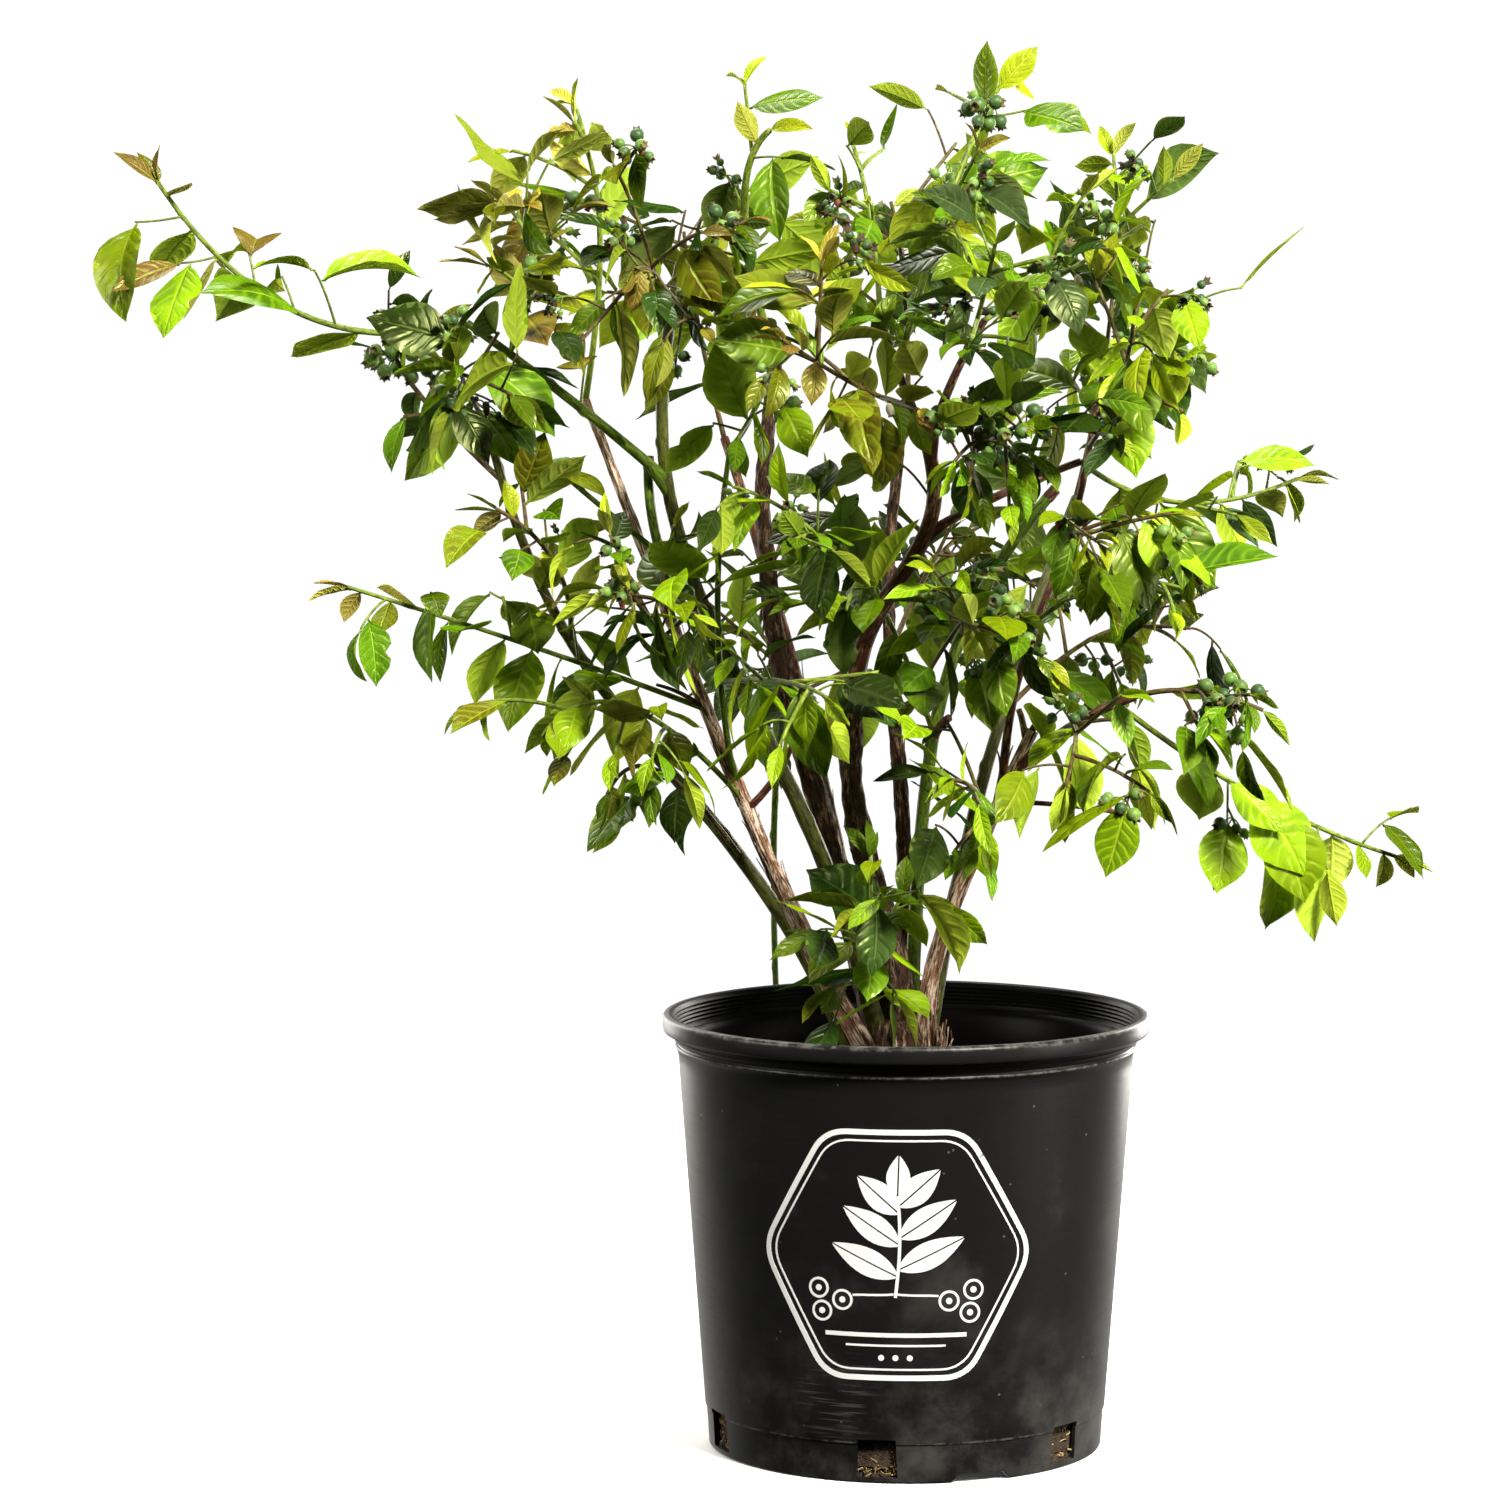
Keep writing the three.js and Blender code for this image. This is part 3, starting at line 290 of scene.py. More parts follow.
# Leaf tints: upper side, its veins, its blotches, and the underside.
TINTS = {
    "d": ((0.015, 0.042, 0.004), (0.055, 0.105, 0.014), (0.006, 0.017, 0.002), (0.070, 0.120, 0.020)),
    "m": ((0.074, 0.164, 0.004), (0.18, 0.30, 0.015), (0.026, 0.068, 0.002), (0.20, 0.29, 0.022)),
    "g": ((0.180, 0.320, 0.004), (0.32, 0.46, 0.02), (0.085, 0.180, 0.003), (0.32, 0.44, 0.030)),
    "l": ((0.27, 0.35, 0.008), (0.42, 0.48, 0.04), (0.16, 0.25, 0.005), (0.36, 0.43, 0.06)),
    "y": ((0.44, 0.40, 0.035), (0.54, 0.50, 0.07), (0.40, 0.22, 0.025), (0.48, 0.45, 0.08)),
    "b": ((0.185, 0.160, 0.018), (0.27, 0.29, 0.03), (0.13, 0.060, 0.016), (0.30, 0.30, 0.06)),
    "o": ((0.12, 0.165, 0.005), (0.24, 0.30, 0.02), (0.090, 0.058, 0.006), (0.27, 0.31, 0.045)),
    "s": ((0.040, 0.085, 0.022), (0.12, 0.18, 0.05), (0.018, 0.044, 0.010), (0.15, 0.22, 0.06)),
}

# Open places in the crown, as seen from the front: x and z on the plane y = 0, and radius.
EYE = np.array([-90, -3000, 676.0])
SKY_SHARE = 0.3  # of a leaf, the most that an open place leaves standing in it
SKY = [
    (-130, 747, 30), (-227, 765, 24), (12, 752, 24), (190, 655, 28), (190, 600, 30), (186, 470, 24),
    (232, 432, 20), (-328, 600, 32), (-232, 388, 24), (-198, 365, 18), (-50, 757, 15), (156, 710, 22),
    (-385, 640, 16), (-140, 545, 13), (-103, 590, 12), (-210, 450, 14), (120, 380, 16),
    (-128, 708, 12), (-98, 735, 14), (214, 455, 18), (178, 690, 16), (50, 770, 14), (-270, 545, 16),
    (-245, 503, 22), (-112, 548, 10), (-188, 549, 12), (236, 500, 18), (66, 334, 17), (-158, 337, 18),
    (22, 800, 18), (150, 462, 13), (-62, 722, 13), (-16, 728, 13), (146, 676, 15), (193, 500, 14),
]


# ---- Mesh making ----


class Piece:
    """Points and faces gathered into one mesh, with the place of each point for its materials."""

    def __init__(self, name, *looks):
        self.name, self.looks, self.total = name, looks, 0
        self.points, self.faces, self.slots, self.places = [], [], [], []

    def add(self, points, faces, slots=0, place=None):
        """faces: arrays of triangles or quads. slots: one for all of them, or a list of theirs."""
        points = np.asarray(points, float).reshape(-1, 3)
        slots = slots if isinstance(slots, (list, tuple)) else [slots] * len(faces)
        for block, slot in zip(faces, slots):
            self.faces.append(np.asarray(block) + self.total)
            self.slots.append(np.broadcast_to(slot, len(block)))
        self.points.append(points)
        self.places.append(points if place is None else np.asarray(place, float).reshape(-1, 3))
        self.total += len(points)

    def build(self, *nodes, slot="foliage", sharp_angle=None):
        mesh = bpy.data.meshes.new(self.name)
        points = np.concatenate(self.points)
        corners = np.concatenate([block.ravel() for block in self.faces])
        sizes = np.concatenate([np.full(len(block), block.shape[1]) for block in self.faces])
        mesh.vertices.add(len(points))
        mesh.vertices.foreach_set("co", (points * MM).ravel())
        mesh.loops.add(len(corners))
        mesh.loops.foreach_set("vertex_index", corners)
        mesh.polygons.add(len(sizes))
        mesh.polygons.foreach_set("loop_start", np.cumsum(sizes) - sizes)
        mesh.polygons.foreach_set("material_index", np.concatenate(self.slots))
        mesh.polygons.foreach_set("use_smooth", np.ones(len(sizes), bool))
        mesh.update(calc_edges=True)
        place = mesh.attributes.new("place", "FLOAT_VECTOR", "POINT")
        place.data.foreach_set("vector", np.concatenate(self.places).ravel())
        if sharp_angle is not None:
            mesh.set_sharp_from_angle(angle=math.radians(sharp_angle))
        for look in self.looks:
            mesh.materials.append(look)
        obj = bpy.data.objects.new(self.name, mesh)
        bpy.context.collection.objects.link(obj)
        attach(obj, "root")
        if nodes:
            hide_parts(*nodes)
        return obj


def read_all(items, key):
    """One whole number of each corner or face of a mesh."""
    values = np.empty(len(items), np.int32)
    items.foreach_get(key, values)
    return values


def sharpen_between_slots(mesh):
    """Marks as sharp the edges where one material slot meets another, such as a leaf's margin."""
    edge_of = read_all(mesh.loops, "edge_index")
    slots = np.repeat(read_all(mesh.polygons, "material_index"), read_all(mesh.polygons, "loop_total"))
    low, high = np.full(len(mesh.edges), 999), np.full(len(mesh.edges), -1)
    np.minimum.at(low, edge_of, slots)
    np.maximum.at(high, edge_of, slots)
    mesh.attributes.new("sharp_edge", "BOOLEAN", "EDGE").data.foreach_set("value", low != high)


def grid_faces(rows, columns, wrap=False):
    """Quads over a grid of points, row by row, joined round its columns where it wraps."""
    row, column = np.meshgrid(np.arange(rows - 1), np.arange(columns - (not wrap)), indexing="ij")
    here, beside = row * columns + column, row * columns + (column + 1) % columns
    return np.stack([here, beside, beside + columns, here + columns], -1).reshape(-1, 4)


def shell(rings, ends, flip=False):
    """A closed surface through rings of points, with a middle point at either end."""
    rows, sides = rings.shape[:2]
    first, count = np.arange(sides), rows * sides
    faces = [grid_faces(rows, sides, wrap=True)]
    for ring, hub in ((first, count), (first + count - sides, count + 1)):
        faces.append(np.stack([ring, np.roll(ring, -1), np.full(sides, hub)], -1))
    faces[1] = faces[1][:, ::-1]
    if flip:
        faces = [block[:, ::-1] for block in faces]
    return np.concatenate([rings.reshape(-1, 3), ends]), faces


def slab(points, normals, low, high):
    """A closed plate over a grid of points, between two heights along the normals."""
    rows, columns = points.shape[:2]
    count = rows * columns
    index = np.arange(count).reshape(rows, columns)
    top = grid_faces(rows, columns)
    rim = np.concatenate([index[0, :-1], index[:-1, -1], index[-1, :0:-1], index[:0:-1, 0]])
    wall = np.stack([rim, rim + count, np.roll(rim, -1) + count, np.roll(rim, -1)], -1)
    both = np.concatenate([points + normals * high, points + normals * low])
    return both.reshape(-1, 3), [top, top[:, ::-1] + count, wall]


def spin(points, axis, angle):
    """Points turned about the X, Y or Z axis, which are 0, 1 and 2."""
    points = np.array(points, float)
    a, b = points[..., (axis + 1) % 3].copy(), points[..., (axis + 2) % 3].copy()
    points[..., (axis + 1) % 3] = a * math.cos(angle) - b * math.sin(angle)
    points[..., (axis + 2) % 3] = a * math.sin(angle) + b * math.cos(angle)
    return points


# ---- Lines and growth, by the rule of the solids ----


def unit(vector):
    vector = np.asarray(vector, float)
    return vector / np.linalg.norm(vector, axis=-1, keepdims=True)


def dice(seed):
    """A seeded die that gives the same rolls wherever the rule is written."""
    state = seed & 0xFFFFFFFF

    def roll():
        nonlocal state
        state = (state + 0x6D2B79F5) & 0xFFFFFFFF
        t = state
        t = ((t ^ (t >> 15)) * (t | 1)) & 0xFFFFFFFF
        t ^= (t + ((t ^ (t >> 7)) * (t | 61))) & 0xFFFFFFFF
        return ((t ^ (t >> 14)) & 0xFFFFFFFF) / 4294967296

    return roll


class Line:
    """A middle line from foot to tip, bowed at its middle, its two halves swayed to either side."""

    def __init__(self, foot, tip, bow=(0, 0, 0), sway=(0, 0, 0)):
        self.foot, self.tip, self.bow, self.sway = (
            np.array(v, float) for v in (foot, tip, bow, sway)
        )
        self.posts = self.at(np.linspace(0, 1, 6))
        self.parent, self.share, self.used = None, 0, 0  # used: the share that carries something
        self.length = np.linalg.norm(np.diff(self.at(np.linspace(0, 1, 41)), axis=0), axis=1).sum()

    def at(self, t):
        t = np.asarray(t, float)[..., None]
        straight = self.foot + (self.tip - self.foot) * t
        return straight + self.bow * 4 * t * (1 - t) + self.sway * np.sin(TAU * t)

    def tangent(self, t):
        t = np.asarray(t, float)
        return unit(self.at(np.minimum(t + 1e-4, 1)) - self.at(np.maximum(t - 1e-4, 0)))

    def frame(self, t):
        """Point, tangent and two directions square to the line, which turn little along it."""
        tangent = self.tangent(t)
        start = np.array([0.35, 1, 0.1])
        side = unit(start - tangent * (tangent @ start)[..., None])
        return self.at(t), tangent, side, np.cross(side, tangent)

    def around(self, t, turn):
        """Point, tangent and the direction that points away from the line at an angle round it."""
        point, tangent, side, over = self.frame(t)
        return point, tangent, side * math.cos(turn) + over * math.sin(turn)

    def stretch(self, start, end):
        foot, middle, tip = self.at([start, (start + end) / 2, end])
        return Line(foot, tip, middle - (foot + tip) / 2)


def chain_of(lines_of_posts):
    """Stretches of several chains of points: starts, directions and squared lengths."""
    starts = np.concatenate([posts[:-1] for posts in lines_of_posts])
    along = np.concatenate([np.diff(posts, axis=0) for posts in lines_of_posts])
    return starts, along, (along ** 2).sum(1)


def distances(points, chain):
    """Distance from each point to each stretch."""
    starts, along, square = chain
    offset = points[:, None] - starts
    share = np.clip((offset * along).sum(2) / square, 0, 1)
    return np.linalg.norm(offset - share[..., None] * along, axis=2)


def nearest(points, others):
    return np.linalg.norm(others[:, None] - points, axis=2).min()


limbs = {}
for name, foot, tip, bow, sway, thick, thin, bark in CANES:
    line = Line((*foot, SOIL_LEVEL + CANE_SUNK), tip, bow, sway)
    limbs[name] = dict(line=line, thick=thick, thin=thin, bark=bark, flare=ROOT_FLARE, posts=17)
for name, on, at, tip, bow, sway, thick, thin, bark in BOUGHS:
    line = Line(limbs[on]["line"].at(at), tip, bow, sway)
    limbs[name] = dict(line=line, thick=thick, thin=thin, bark=bark, flare=0, posts=9, on=on, at=at)

limb_chain = chain_of([limb["line"].at(np.linspace(0, 1, limb["posts"])) for limb in limbs.values()])
limb_reach = np.repeat([limb["thick"] + LIMB_CLEARANCE for limb in limbs.values()],
                       [limb["posts"] - 1 for limb in limbs.values()])


def stem_line(mass):
    foot = limbs[mass["on"]]["line"].at(mass["at"])
    tip = np.array(mass["tip"], float)
    return Line(foot, tip, np.array(mass["via"]) - (foot + tip) / 2)


STEM_POSTS = 7
stems = [stem_line(mass) for mass in masses]
stem_chain = chain_of([line.at(np.linspace(0, 1, STEM_POSTS)) for line in stems])
stem_girth = np.repeat([mass["girth"] for mass in masses], STEM_POSTS - 1)
stem_starts = np.arange(len(masses)) * (STEM_POSTS - 1)
box_low, box_high = (np.array(corner) / MM for corner in cad_box)


def free(order, points, slack=0.0):
    """True where the points lie in the mass's own space, clear of limbs, pot and soil."""
    points = np.atleast_2d(points)
    height = points[:, 2]
    inside = (points > box_low - 2).all() and (points < box_high + 2).all()
    in_mouth = (np.hypot(points[:, 0], points[:, 1]) < MOUTH_RADIUS) & (height > SOIL_LEVEL + 4)
    if not inside or not (in_mouth | (height > POT_HEIGHT + 8)).all():
        return False
    if (distances(points, limb_chain) <= limb_reach).any():
        return False
    shares = np.minimum.reduceat(distances(points, stem_chain) / stem_girth, stem_starts, axis=1)
    own = shares[:, order].copy()
    shares[:, order] = np.inf
    return (own <= 1).all() and (own + SPACE_MARGIN < shares.min(1) + slack).all()


def in_sky(points):
    """True where many of the points lie in front of or behind an open place."""
    share = -EYE[1] / (points[:, 1] - EYE[1])
    seen = EYE + (points - EYE) * share[:, None]
    inside = [np.hypot(seen[:, 0] - x, seen[:, 2] - z) < radius for x, z, radius in SKY]
    return np.any(inside, axis=0).mean() > SKY_SHARE


def side_shoot(order, parent, t, turn, reach, lift, slack=0.0):
    """A side shoot, tried at a few places round its parent, or None where none is free."""
    for trial in range(TRIALS):
        point, tangent, out = parent.around(t, turn + trial * TRIAL_TURN)
        line = Line(point, point + unit(tangent * 0.5 + out * 0.85) * reach, (0, 0, lift))
        if free(order, line.posts[1:], slack):
            line.parent, line.share = parent, t
            return line
    return None


def side_twigs(mass, order, stem, roll):
    twigs = []
    for k in range(mass["twigs"]):
        reach = mass["reach"] * (0.75 + 0.5 * roll())
        lift = reach * (0.1 * roll() - 0.02)
        share = 0.22 + 0.68 * (k + 0.5) / mass["twigs"]
        twigs.append(side_shoot(order, stem, share, k * GOLDEN_TURN + order, reach, lift))
    return [line for line in twigs if line]


def berry_stalks(mass, order, stem, roll):
    stalks = []
    for k in range(mass["berries"]):
        point, _, out = stem.around(0.6 + 0.38 * k / mass["berries"], k * GOLDEN_TURN + 1)
        tip = point + out * (13 + 5 * roll()) + (0, 0, -4)
        if free(order, tip):
            stalks.append(Line(point, tip, (0, 0, 2)))
    return stalks


def spurs_of(order, parent, bare, pitch, roll):
    """Fine side shoots along a stem or twig."""
    spurs = []
    count = round(parent.length * (1 - bare) / pitch)
    for k in range(count):
        t = bare + (1 - bare) * (k + 0.6) / (count + 0.4)
        reach = SPUR_LENGTH * (0.6 + 0.8 * roll())
        lift = reach * (0.2 * roll() - 0.04)
        spurs.append(side_shoot(order, parent, t, roll() * TAU, reach, lift, SPUR_SLACK))
    return [line for line in spurs if line]


def leaf_at(mass, line, t, turn, length, roll):
    """A leaf's foot, the directions it points and faces, and its length."""
    point, tangent, radial = line.around(t, turn)
    least = 0.6 if mass["twigs"] <= 1 else 0.15  # the long arching shoots hang all their leaves
    droop = mass["hang"] * (least + (1.1 - least) * roll())
    axis = unit(tangent * (0.5 + 0.25 * roll()) + radial * 0.85 + np.array([0, 0, -droop]))
    face = np.array([roll() - 0.5, roll() - 0.5, 0.4 + 0.5 * roll()])
    face = face + radial * 0.8 + unit((point - MIDDLE) * (1, 1, 0)) * 0.3
    return dict(point=point, axis=axis, face=unit(face - axis * (face @ axis)), length=length)


BLADE = [(along, hand * wide) for along, wide in
         ((0.28, 0.7), (0.45, 1), (0.62, 0.85), (0.8, 0.5), (1, 0)) for hand in (-1, 0, 1)]


def blade_of(leaf):
    """Points spread over a leaf's blade."""
    across = np.cross(leaf["axis"], leaf["face"]) * LEAF_WIDTH * 0.5
    return np.array([leaf["point"] + (leaf["axis"] * along + across * wide) * leaf["length"]
                     for along, wide in BLADE])


def pierced(leaf, posts):
    """True where a post of another line lies in or close to the leaf's blade."""
    offset = (posts - leaf["point"]) / leaf["length"]
    along, up = offset @ leaf["axis"], offset @ leaf["face"]
    across = offset @ np.cross(leaf["axis"], leaf["face"])
    drop = 0.25 * np.clip(along, 0, 1) ** 2
    return bool(((along > 0.1) & (along < 1.02) & (np.abs(across) < 0.3)
                 & (np.abs(up + drop) < 0.10)).any())


def has_room(order, leaf, line, grown):
    """True where a leaf meets no other leaf, berry or line, no sky, and no other mass."""
    blade = blade_of(leaf)
    if grown["blades"] and nearest(blade, np.concatenate(grown["blades"])) <= leaf["length"] * LEAF_APART:
        return False
    if len(grown["fruit"]) and nearest(blade, grown["fruit"]) < BERRY_RADIUS + 1:
        return False
    others = [other.at(np.linspace(0.1, 1, 9)) for other in grown["lines"] if other is not line]
    if others and pierced(leaf, np.concatenate(others)):
        return False
    return not in_sky(blade) and free(order, blade, LEAF_SLACK)


def place_leaf(order, line, t, grown, leaf_for):
    """Tries a leaf at a few places round its line."""
    for trial in range(TRIALS):
        leaf = leaf_for(trial * TRIAL_TURN)
        if has_room(order, leaf, line, grown):
            grown["blades"].append(blade_of(leaf))
            grown["leaves"].append(leaf)
            line.used = max(line.used, t)
            return


def grow_leaves(mass, order, line, bare, grown, roll, young):
    """Leaves up a line, alternately, and young ones at its tip."""
    start = roll() * TAU
    size = mass["leaf"] * LEAF_SCALE * BUILD.get(mass["name"], (0, 1))[1]

    def tip_leaf(turn):
        share = 0.50 - 0.06 * k if young > 1 else 0.66
        leaf = leaf_at(mass, line, TIP_SHARE, start + k * LEAF_TURN + turn, size * share, roll)
        leaf["axis"] = unit(leaf["axis"] + line.tangent(1) * (1.7 + 0.3 * k))
        leaf["face"] = unit(leaf["face"] - leaf["axis"] * (leaf["face"] @ leaf["axis"]))
        leaf["young"] = True
        return leaf

    for k in range(young):
        place_leaf(order, line, TIP_SHARE, grown, tip_leaf)
    count = max(1, round(line.length * (1 - bare) / (LEAF_PITCH * mass["pitch"])))
    for k in range(count - 1, -1, -1):
        t = bare + (1 - bare) * (k + 0.5) / count
        length = size * (0.72 + 0.28 * math.sin(math.pi * t)) * (0.66 + 0.5 * roll())
        if young > 2:  # smaller towards the tips of the long shoots
            length *= 1 - TIP_SHRINK * max(t - 0.6, 0) / 0.4
        place_leaf(order, line, t, grown,
                   lambda turn: leaf_at(mass, line, t, start + k * LEAF_TURN + turn, length, roll))


def colour_leaves(mass, leaves, stem, depth, roll):
    """Deals out tints by the mass's body and tips, and the rolls that shape each leaf."""
    for leaf in leaves:
        share = np.linalg.norm(leaf["point"] - stem.foot) / max(stem.length, 1)
        at_tip = leaf.get("young") and depth < 2 or (depth == 0 and share > TIP_ZONE)
        tints = mass["tip_tints"] if at_tip else mass["body_tints"]
        leaf["tint"] = tints[int(roll() * len(tints))]
        leaf["rolls"] = [roll() for _ in range(8)]
        leaf["broad"] = BUILD.get(mass["name"], (0, 1))[0]


def grow_mass(mass, order):
    roll, fine = dice(GROWTH_SEED + order), dice(FINE_SEED + order)
    stem = stems[order]
    twigs = side_twigs(mass, order, stem, roll)
    stalks = berry_stalks(mass, order, stem, roll)
    fruit = np.array([stalk.tip for stalk in stalks]).reshape(-1, 3)
    spur_pitch = SPUR_PITCH * mass["pitch"]
    spurs = spurs_of(order, stem, 0.3, spur_pitch, fine)
    for twig in twigs:
        spurs += spurs_of(order, twig, 0.4, spur_pitch, fine)
    for name, limb, start, end in LIMB_SHOOTS:
        if name == mass["name"]:
            spurs += spurs_of(order, limbs[limb]["line"].stretch(start, end), 0, LIMB_SHOOT_PITCH, fine)
    grown = dict(order=order, lines=[stem, *twigs, *spurs], blades=[], leaves=[], fruit=fruit)
    for depth, (lines, bare, young) in enumerate((([stem], BARE_STEM, 4), (twigs, BARE_TWIG, 3),
                                                  (spurs, BARE_SPUR, 1))):
        for line in lines:
            before = len(grown["leaves"])
            grow_leaves(mass, order, line, bare, grown, fine, young)
            colour_leaves(mass, grown["leaves"][before:], stem, depth, fine)
    spurs = [line for line in spurs if line.used]
    for line in spurs + twigs:
        if line.used:
            line.parent.used = max(line.parent.used, line.share)
    if stalks:
        stem.used = 1
    twigs = [line for line in twigs if line.used]
    grown.update(stem=stem, twigs=twigs, spurs=spurs, stalks=stalks)
    return grown


# ---- Leaves ----

ROW_SHARES = np.array([0, 0.04, 0.08, 0.14, 0.22, 0.32, 0.43, 0.54, 0.65, 0.76, 0.86, 0.94, 1])
COLUMN_SHARES = np.array([-1, -0.64, -0.3, 0, 0.3, 0.64, 1])
PETIOLE = 0.07
LEAF_THICK = 0.32
MIDRIB = 0.5
BITTEN_SHARE = 0.05  # of the leaves


def leaf_faces():
    """Faces of one leaf: its upper side, then its underside, which share the margin."""
    rows, columns = len(ROW_SHARES) - 2, len(COLUMN_SHARES)
    top = np.arange(1, 1 + rows * columns).reshape(rows, columns)
    under = top.copy()
    under[:, 1:-1] = 1 + rows * columns + np.arange(rows * (columns - 2)).reshape(rows, -1)
    last = 1 + rows * columns + rows * (columns - 2)
    foot, tip = np.zeros(columns - 1, int), np.full(columns - 1, last)
    blocks = []
    for sheet, step in ((top, 1), (under, -1)):
        quads = np.stack([sheet[:-1, :-1], sheet[:-1, 1:], sheet[1:, 1:], sheet[1:, :-1]], -1)
        ends = np.concatenate([np.stack([foot, sheet[0, 1:], sheet[0, :-1]], -1),
                               np.stack([sheet[-1, :-1], sheet[-1, 1:], tip], -1)])
        blocks += [quads.reshape(-1, 4)[:, ::step], ends[:, ::step]]
    return blocks, last + 1


def blade_form(u, v, x, length, broad, rolls, young):
    """How far the points of many leaves lie out from the midrib, and over it."""
    ratio = np.where(young, 0.30 + 0.12 * rolls[0], 0.46 + 0.14 * rolls[0]) + broad
    fold = np.where(young, 0.5, 0.14 + 0.55 * rolls[2] ** 2)
    curl = 0.12 * (rolls[4] - 0.5)
    wave = np.where(rolls[5] > 0.5, 0.018, 0.006) * length
    outline = np.maximum(np.sin(math.pi * x ** 0.9), 0) ** (0.78 + 0.5 * x ** 2)
    half = np.maximum(outline * (length * ratio) / 2, 0.55 * (u < 0.5))
    bite = np.where(rolls[6] < BITTEN_SHARE, 0.45, 0) * np.exp(-((u - 0.55) / 0.09) ** 2)
    half = half * (1 - bite * (v * (rolls[7] - 0.5) > 0))
    ripple = wave * np.sin(TAU * (1.7 * u + rolls[6]) + (v > 0) * 1.9) * np.abs(v) ** 1.5
    out = half * v * np.cos(fold) + (curl * length) * u ** 2
    return out, half * (np.abs(v) * np.sin(fold) - 0.22 * v ** 2) + ripple * (x > 0)


def leaf_points(leaves):
    """The points of many leaves at once, with along, across and size for their materials."""
    get = lambda key: np.array([leaf.get(key, False) for leaf in leaves])
    pick = lambda values: values[:, None, None]
    shape = (len(leaves), len(ROW_SHARES), len(COLUMN_SHARES))
    full = lambda values: np.broadcast_to(values, shape)[..., None]
    point, axis, face = (get(key)[:, None, None, :] for key in ("point", "axis", "face"))
    length, broad, young = (pick(get(key)) for key in ("length", "broad", "young"))
    rolls = [pick(column) for column in get("rolls").T]
    u, v = ROW_SHARES[None, :, None], COLUMN_SHARES[None, None, :]
    x = np.clip((u - PETIOLE) / (1 - PETIOLE), 0, 1)
    out, lift = blade_form(u, v, x, length, broad, rolls, young)
    bend, twist = 0.12 + 1.15 * rolls[1] ** 2, 0.7 * (rolls[3] - 0.5)
    slope, turn = (bend * u)[..., None], (twist * u)[..., None]
    normal = face * np.cos(slope) + axis * np.sin(slope)
    across = np.cross(axis, face)
    beside = across * np.cos(turn) + normal * np.sin(turn)
    upward = normal * np.cos(turn) - across * np.sin(turn)
    middle = (point + axis * full(length * np.sin(bend * u) / bend)
              - face * full(length * (1 - np.cos(bend * u)) / bend))
    top = middle + beside * out[..., None] + upward * lift[..., None]
    thick = LEAF_THICK + MIDRIB * (np.abs(v) < 0.1) * (1 - x) + 0.7 * (x == 0)
    under = top - upward * full(thick)
    place = np.concatenate([full(u), full(v), full(length)], -1)
    return leaf_order(top, under, len(leaves)), leaf_order(place, place, len(leaves))


def leaf_order(top, under, count):
    """Foot, upper side, underside within its margin, and tip, as leaf_faces counts them."""
    parts = (top[:, :1, 3], top[:, 1:-1], under[:, 1:-1, 1:-1], top[:, -1:, 3])
    return np.concatenate([part.reshape(count, -1, 3) for part in parts], 1)


def add_leaves(piece, leaves):
    blocks, count = leaf_faces()
    points, place = leaf_points(leaves)
    tints = np.array([list(TINTS).index(leaf["tint"]) for leaf in leaves])
    offsets = np.arange(len(leaves))[:, None, None] * count
    faces = [(block[None] + offsets).reshape(-1, block.shape[1]) for block in blocks]
    slots = [np.repeat(tints * 2 + k // 2, len(block)) for k, block in enumerate(blocks)]
    piece.add(points, faces, slots, place)


# ---- Limbs, twigs and bark ----


def ripples(seed, count, most_round, most_along):
    """A rough surface as a sum of waves, seamless round a limb: angle and length to about -1..1."""
    roll = dice(seed)
    waves = [(1 + int(most_round * roll()), (roll() - 0.5) * 2 * most_along, roll() * TAU,
              0.4 + roll()) for _ in range(count)]
    whole = sum(weight for *_, weight in waves)

    def height(angle, along):
        return sum(weight * np.sin(turns * angle + rate * along + phase)
                   for turns, rate, phase, weight in waves) * 2 / whole

    return height


def taper(t, thick, thin, flare=0):
    return (thick + (thin - thick) * t) * (1 + flare * np.exp(-FLARE_FADE * t))


def add_tube(piece, line, radii, sides, steps, relief=None, grain=0.0, slot=0):
    """A closed tube along a line. radii: as taper takes them. relief(angle, length along) moves
    its surface in or out."""
    t = np.linspace(0, 1, steps + 1)
    point, _, side, over = line.frame(t)
    angle = np.arange(sides) / sides * TAU
    along = t[:, None] * line.length + 0 * angle
    radius = taper(t, *radii)[:, None] + (relief(angle[None], along[:, :1]) if relief else 0 * angle)
    ring = side[:, None] * np.cos(angle)[:, None] + over[:, None] * np.sin(angle)[:, None]
    points, faces = shell(point[:, None] + ring * radius[..., None], point[[0, -1]], flip=True)
    place = np.stack([np.cos(angle) * radius, np.sin(angle) * radius, along + grain], -1)
    ends = [(0, 0, grain), (0, 0, grain + line.length)]
    piece.add(points, faces, slot, np.concatenate([place.reshape(-1, 3), ends]))


BARK_STEP = 2.4  # along a limb, from ring to ring of its surface
NODE_PITCH = 25
COLLAR_DOWN, COLLAR_UP = 11, 13  # how far a bough's collar runs along its parent and itself
PRUNED_LENGTH = 7
BARKS = {  # relief depth as a share of the radius, waves round and along, node swellings, shreds
    "fibrous": (0.19, 9, 0.14, 0.2, 30),
    "peeling": (0.14, 7, 0.10, 0.3, 24),
    "russet": (0.06, 5, 0.12, 0.9, 5),
    "green": (0.03, 4, 0.08, 1.1, 0),
    "olive": (0.05, 4, 0.08, 1.1, 0),
}


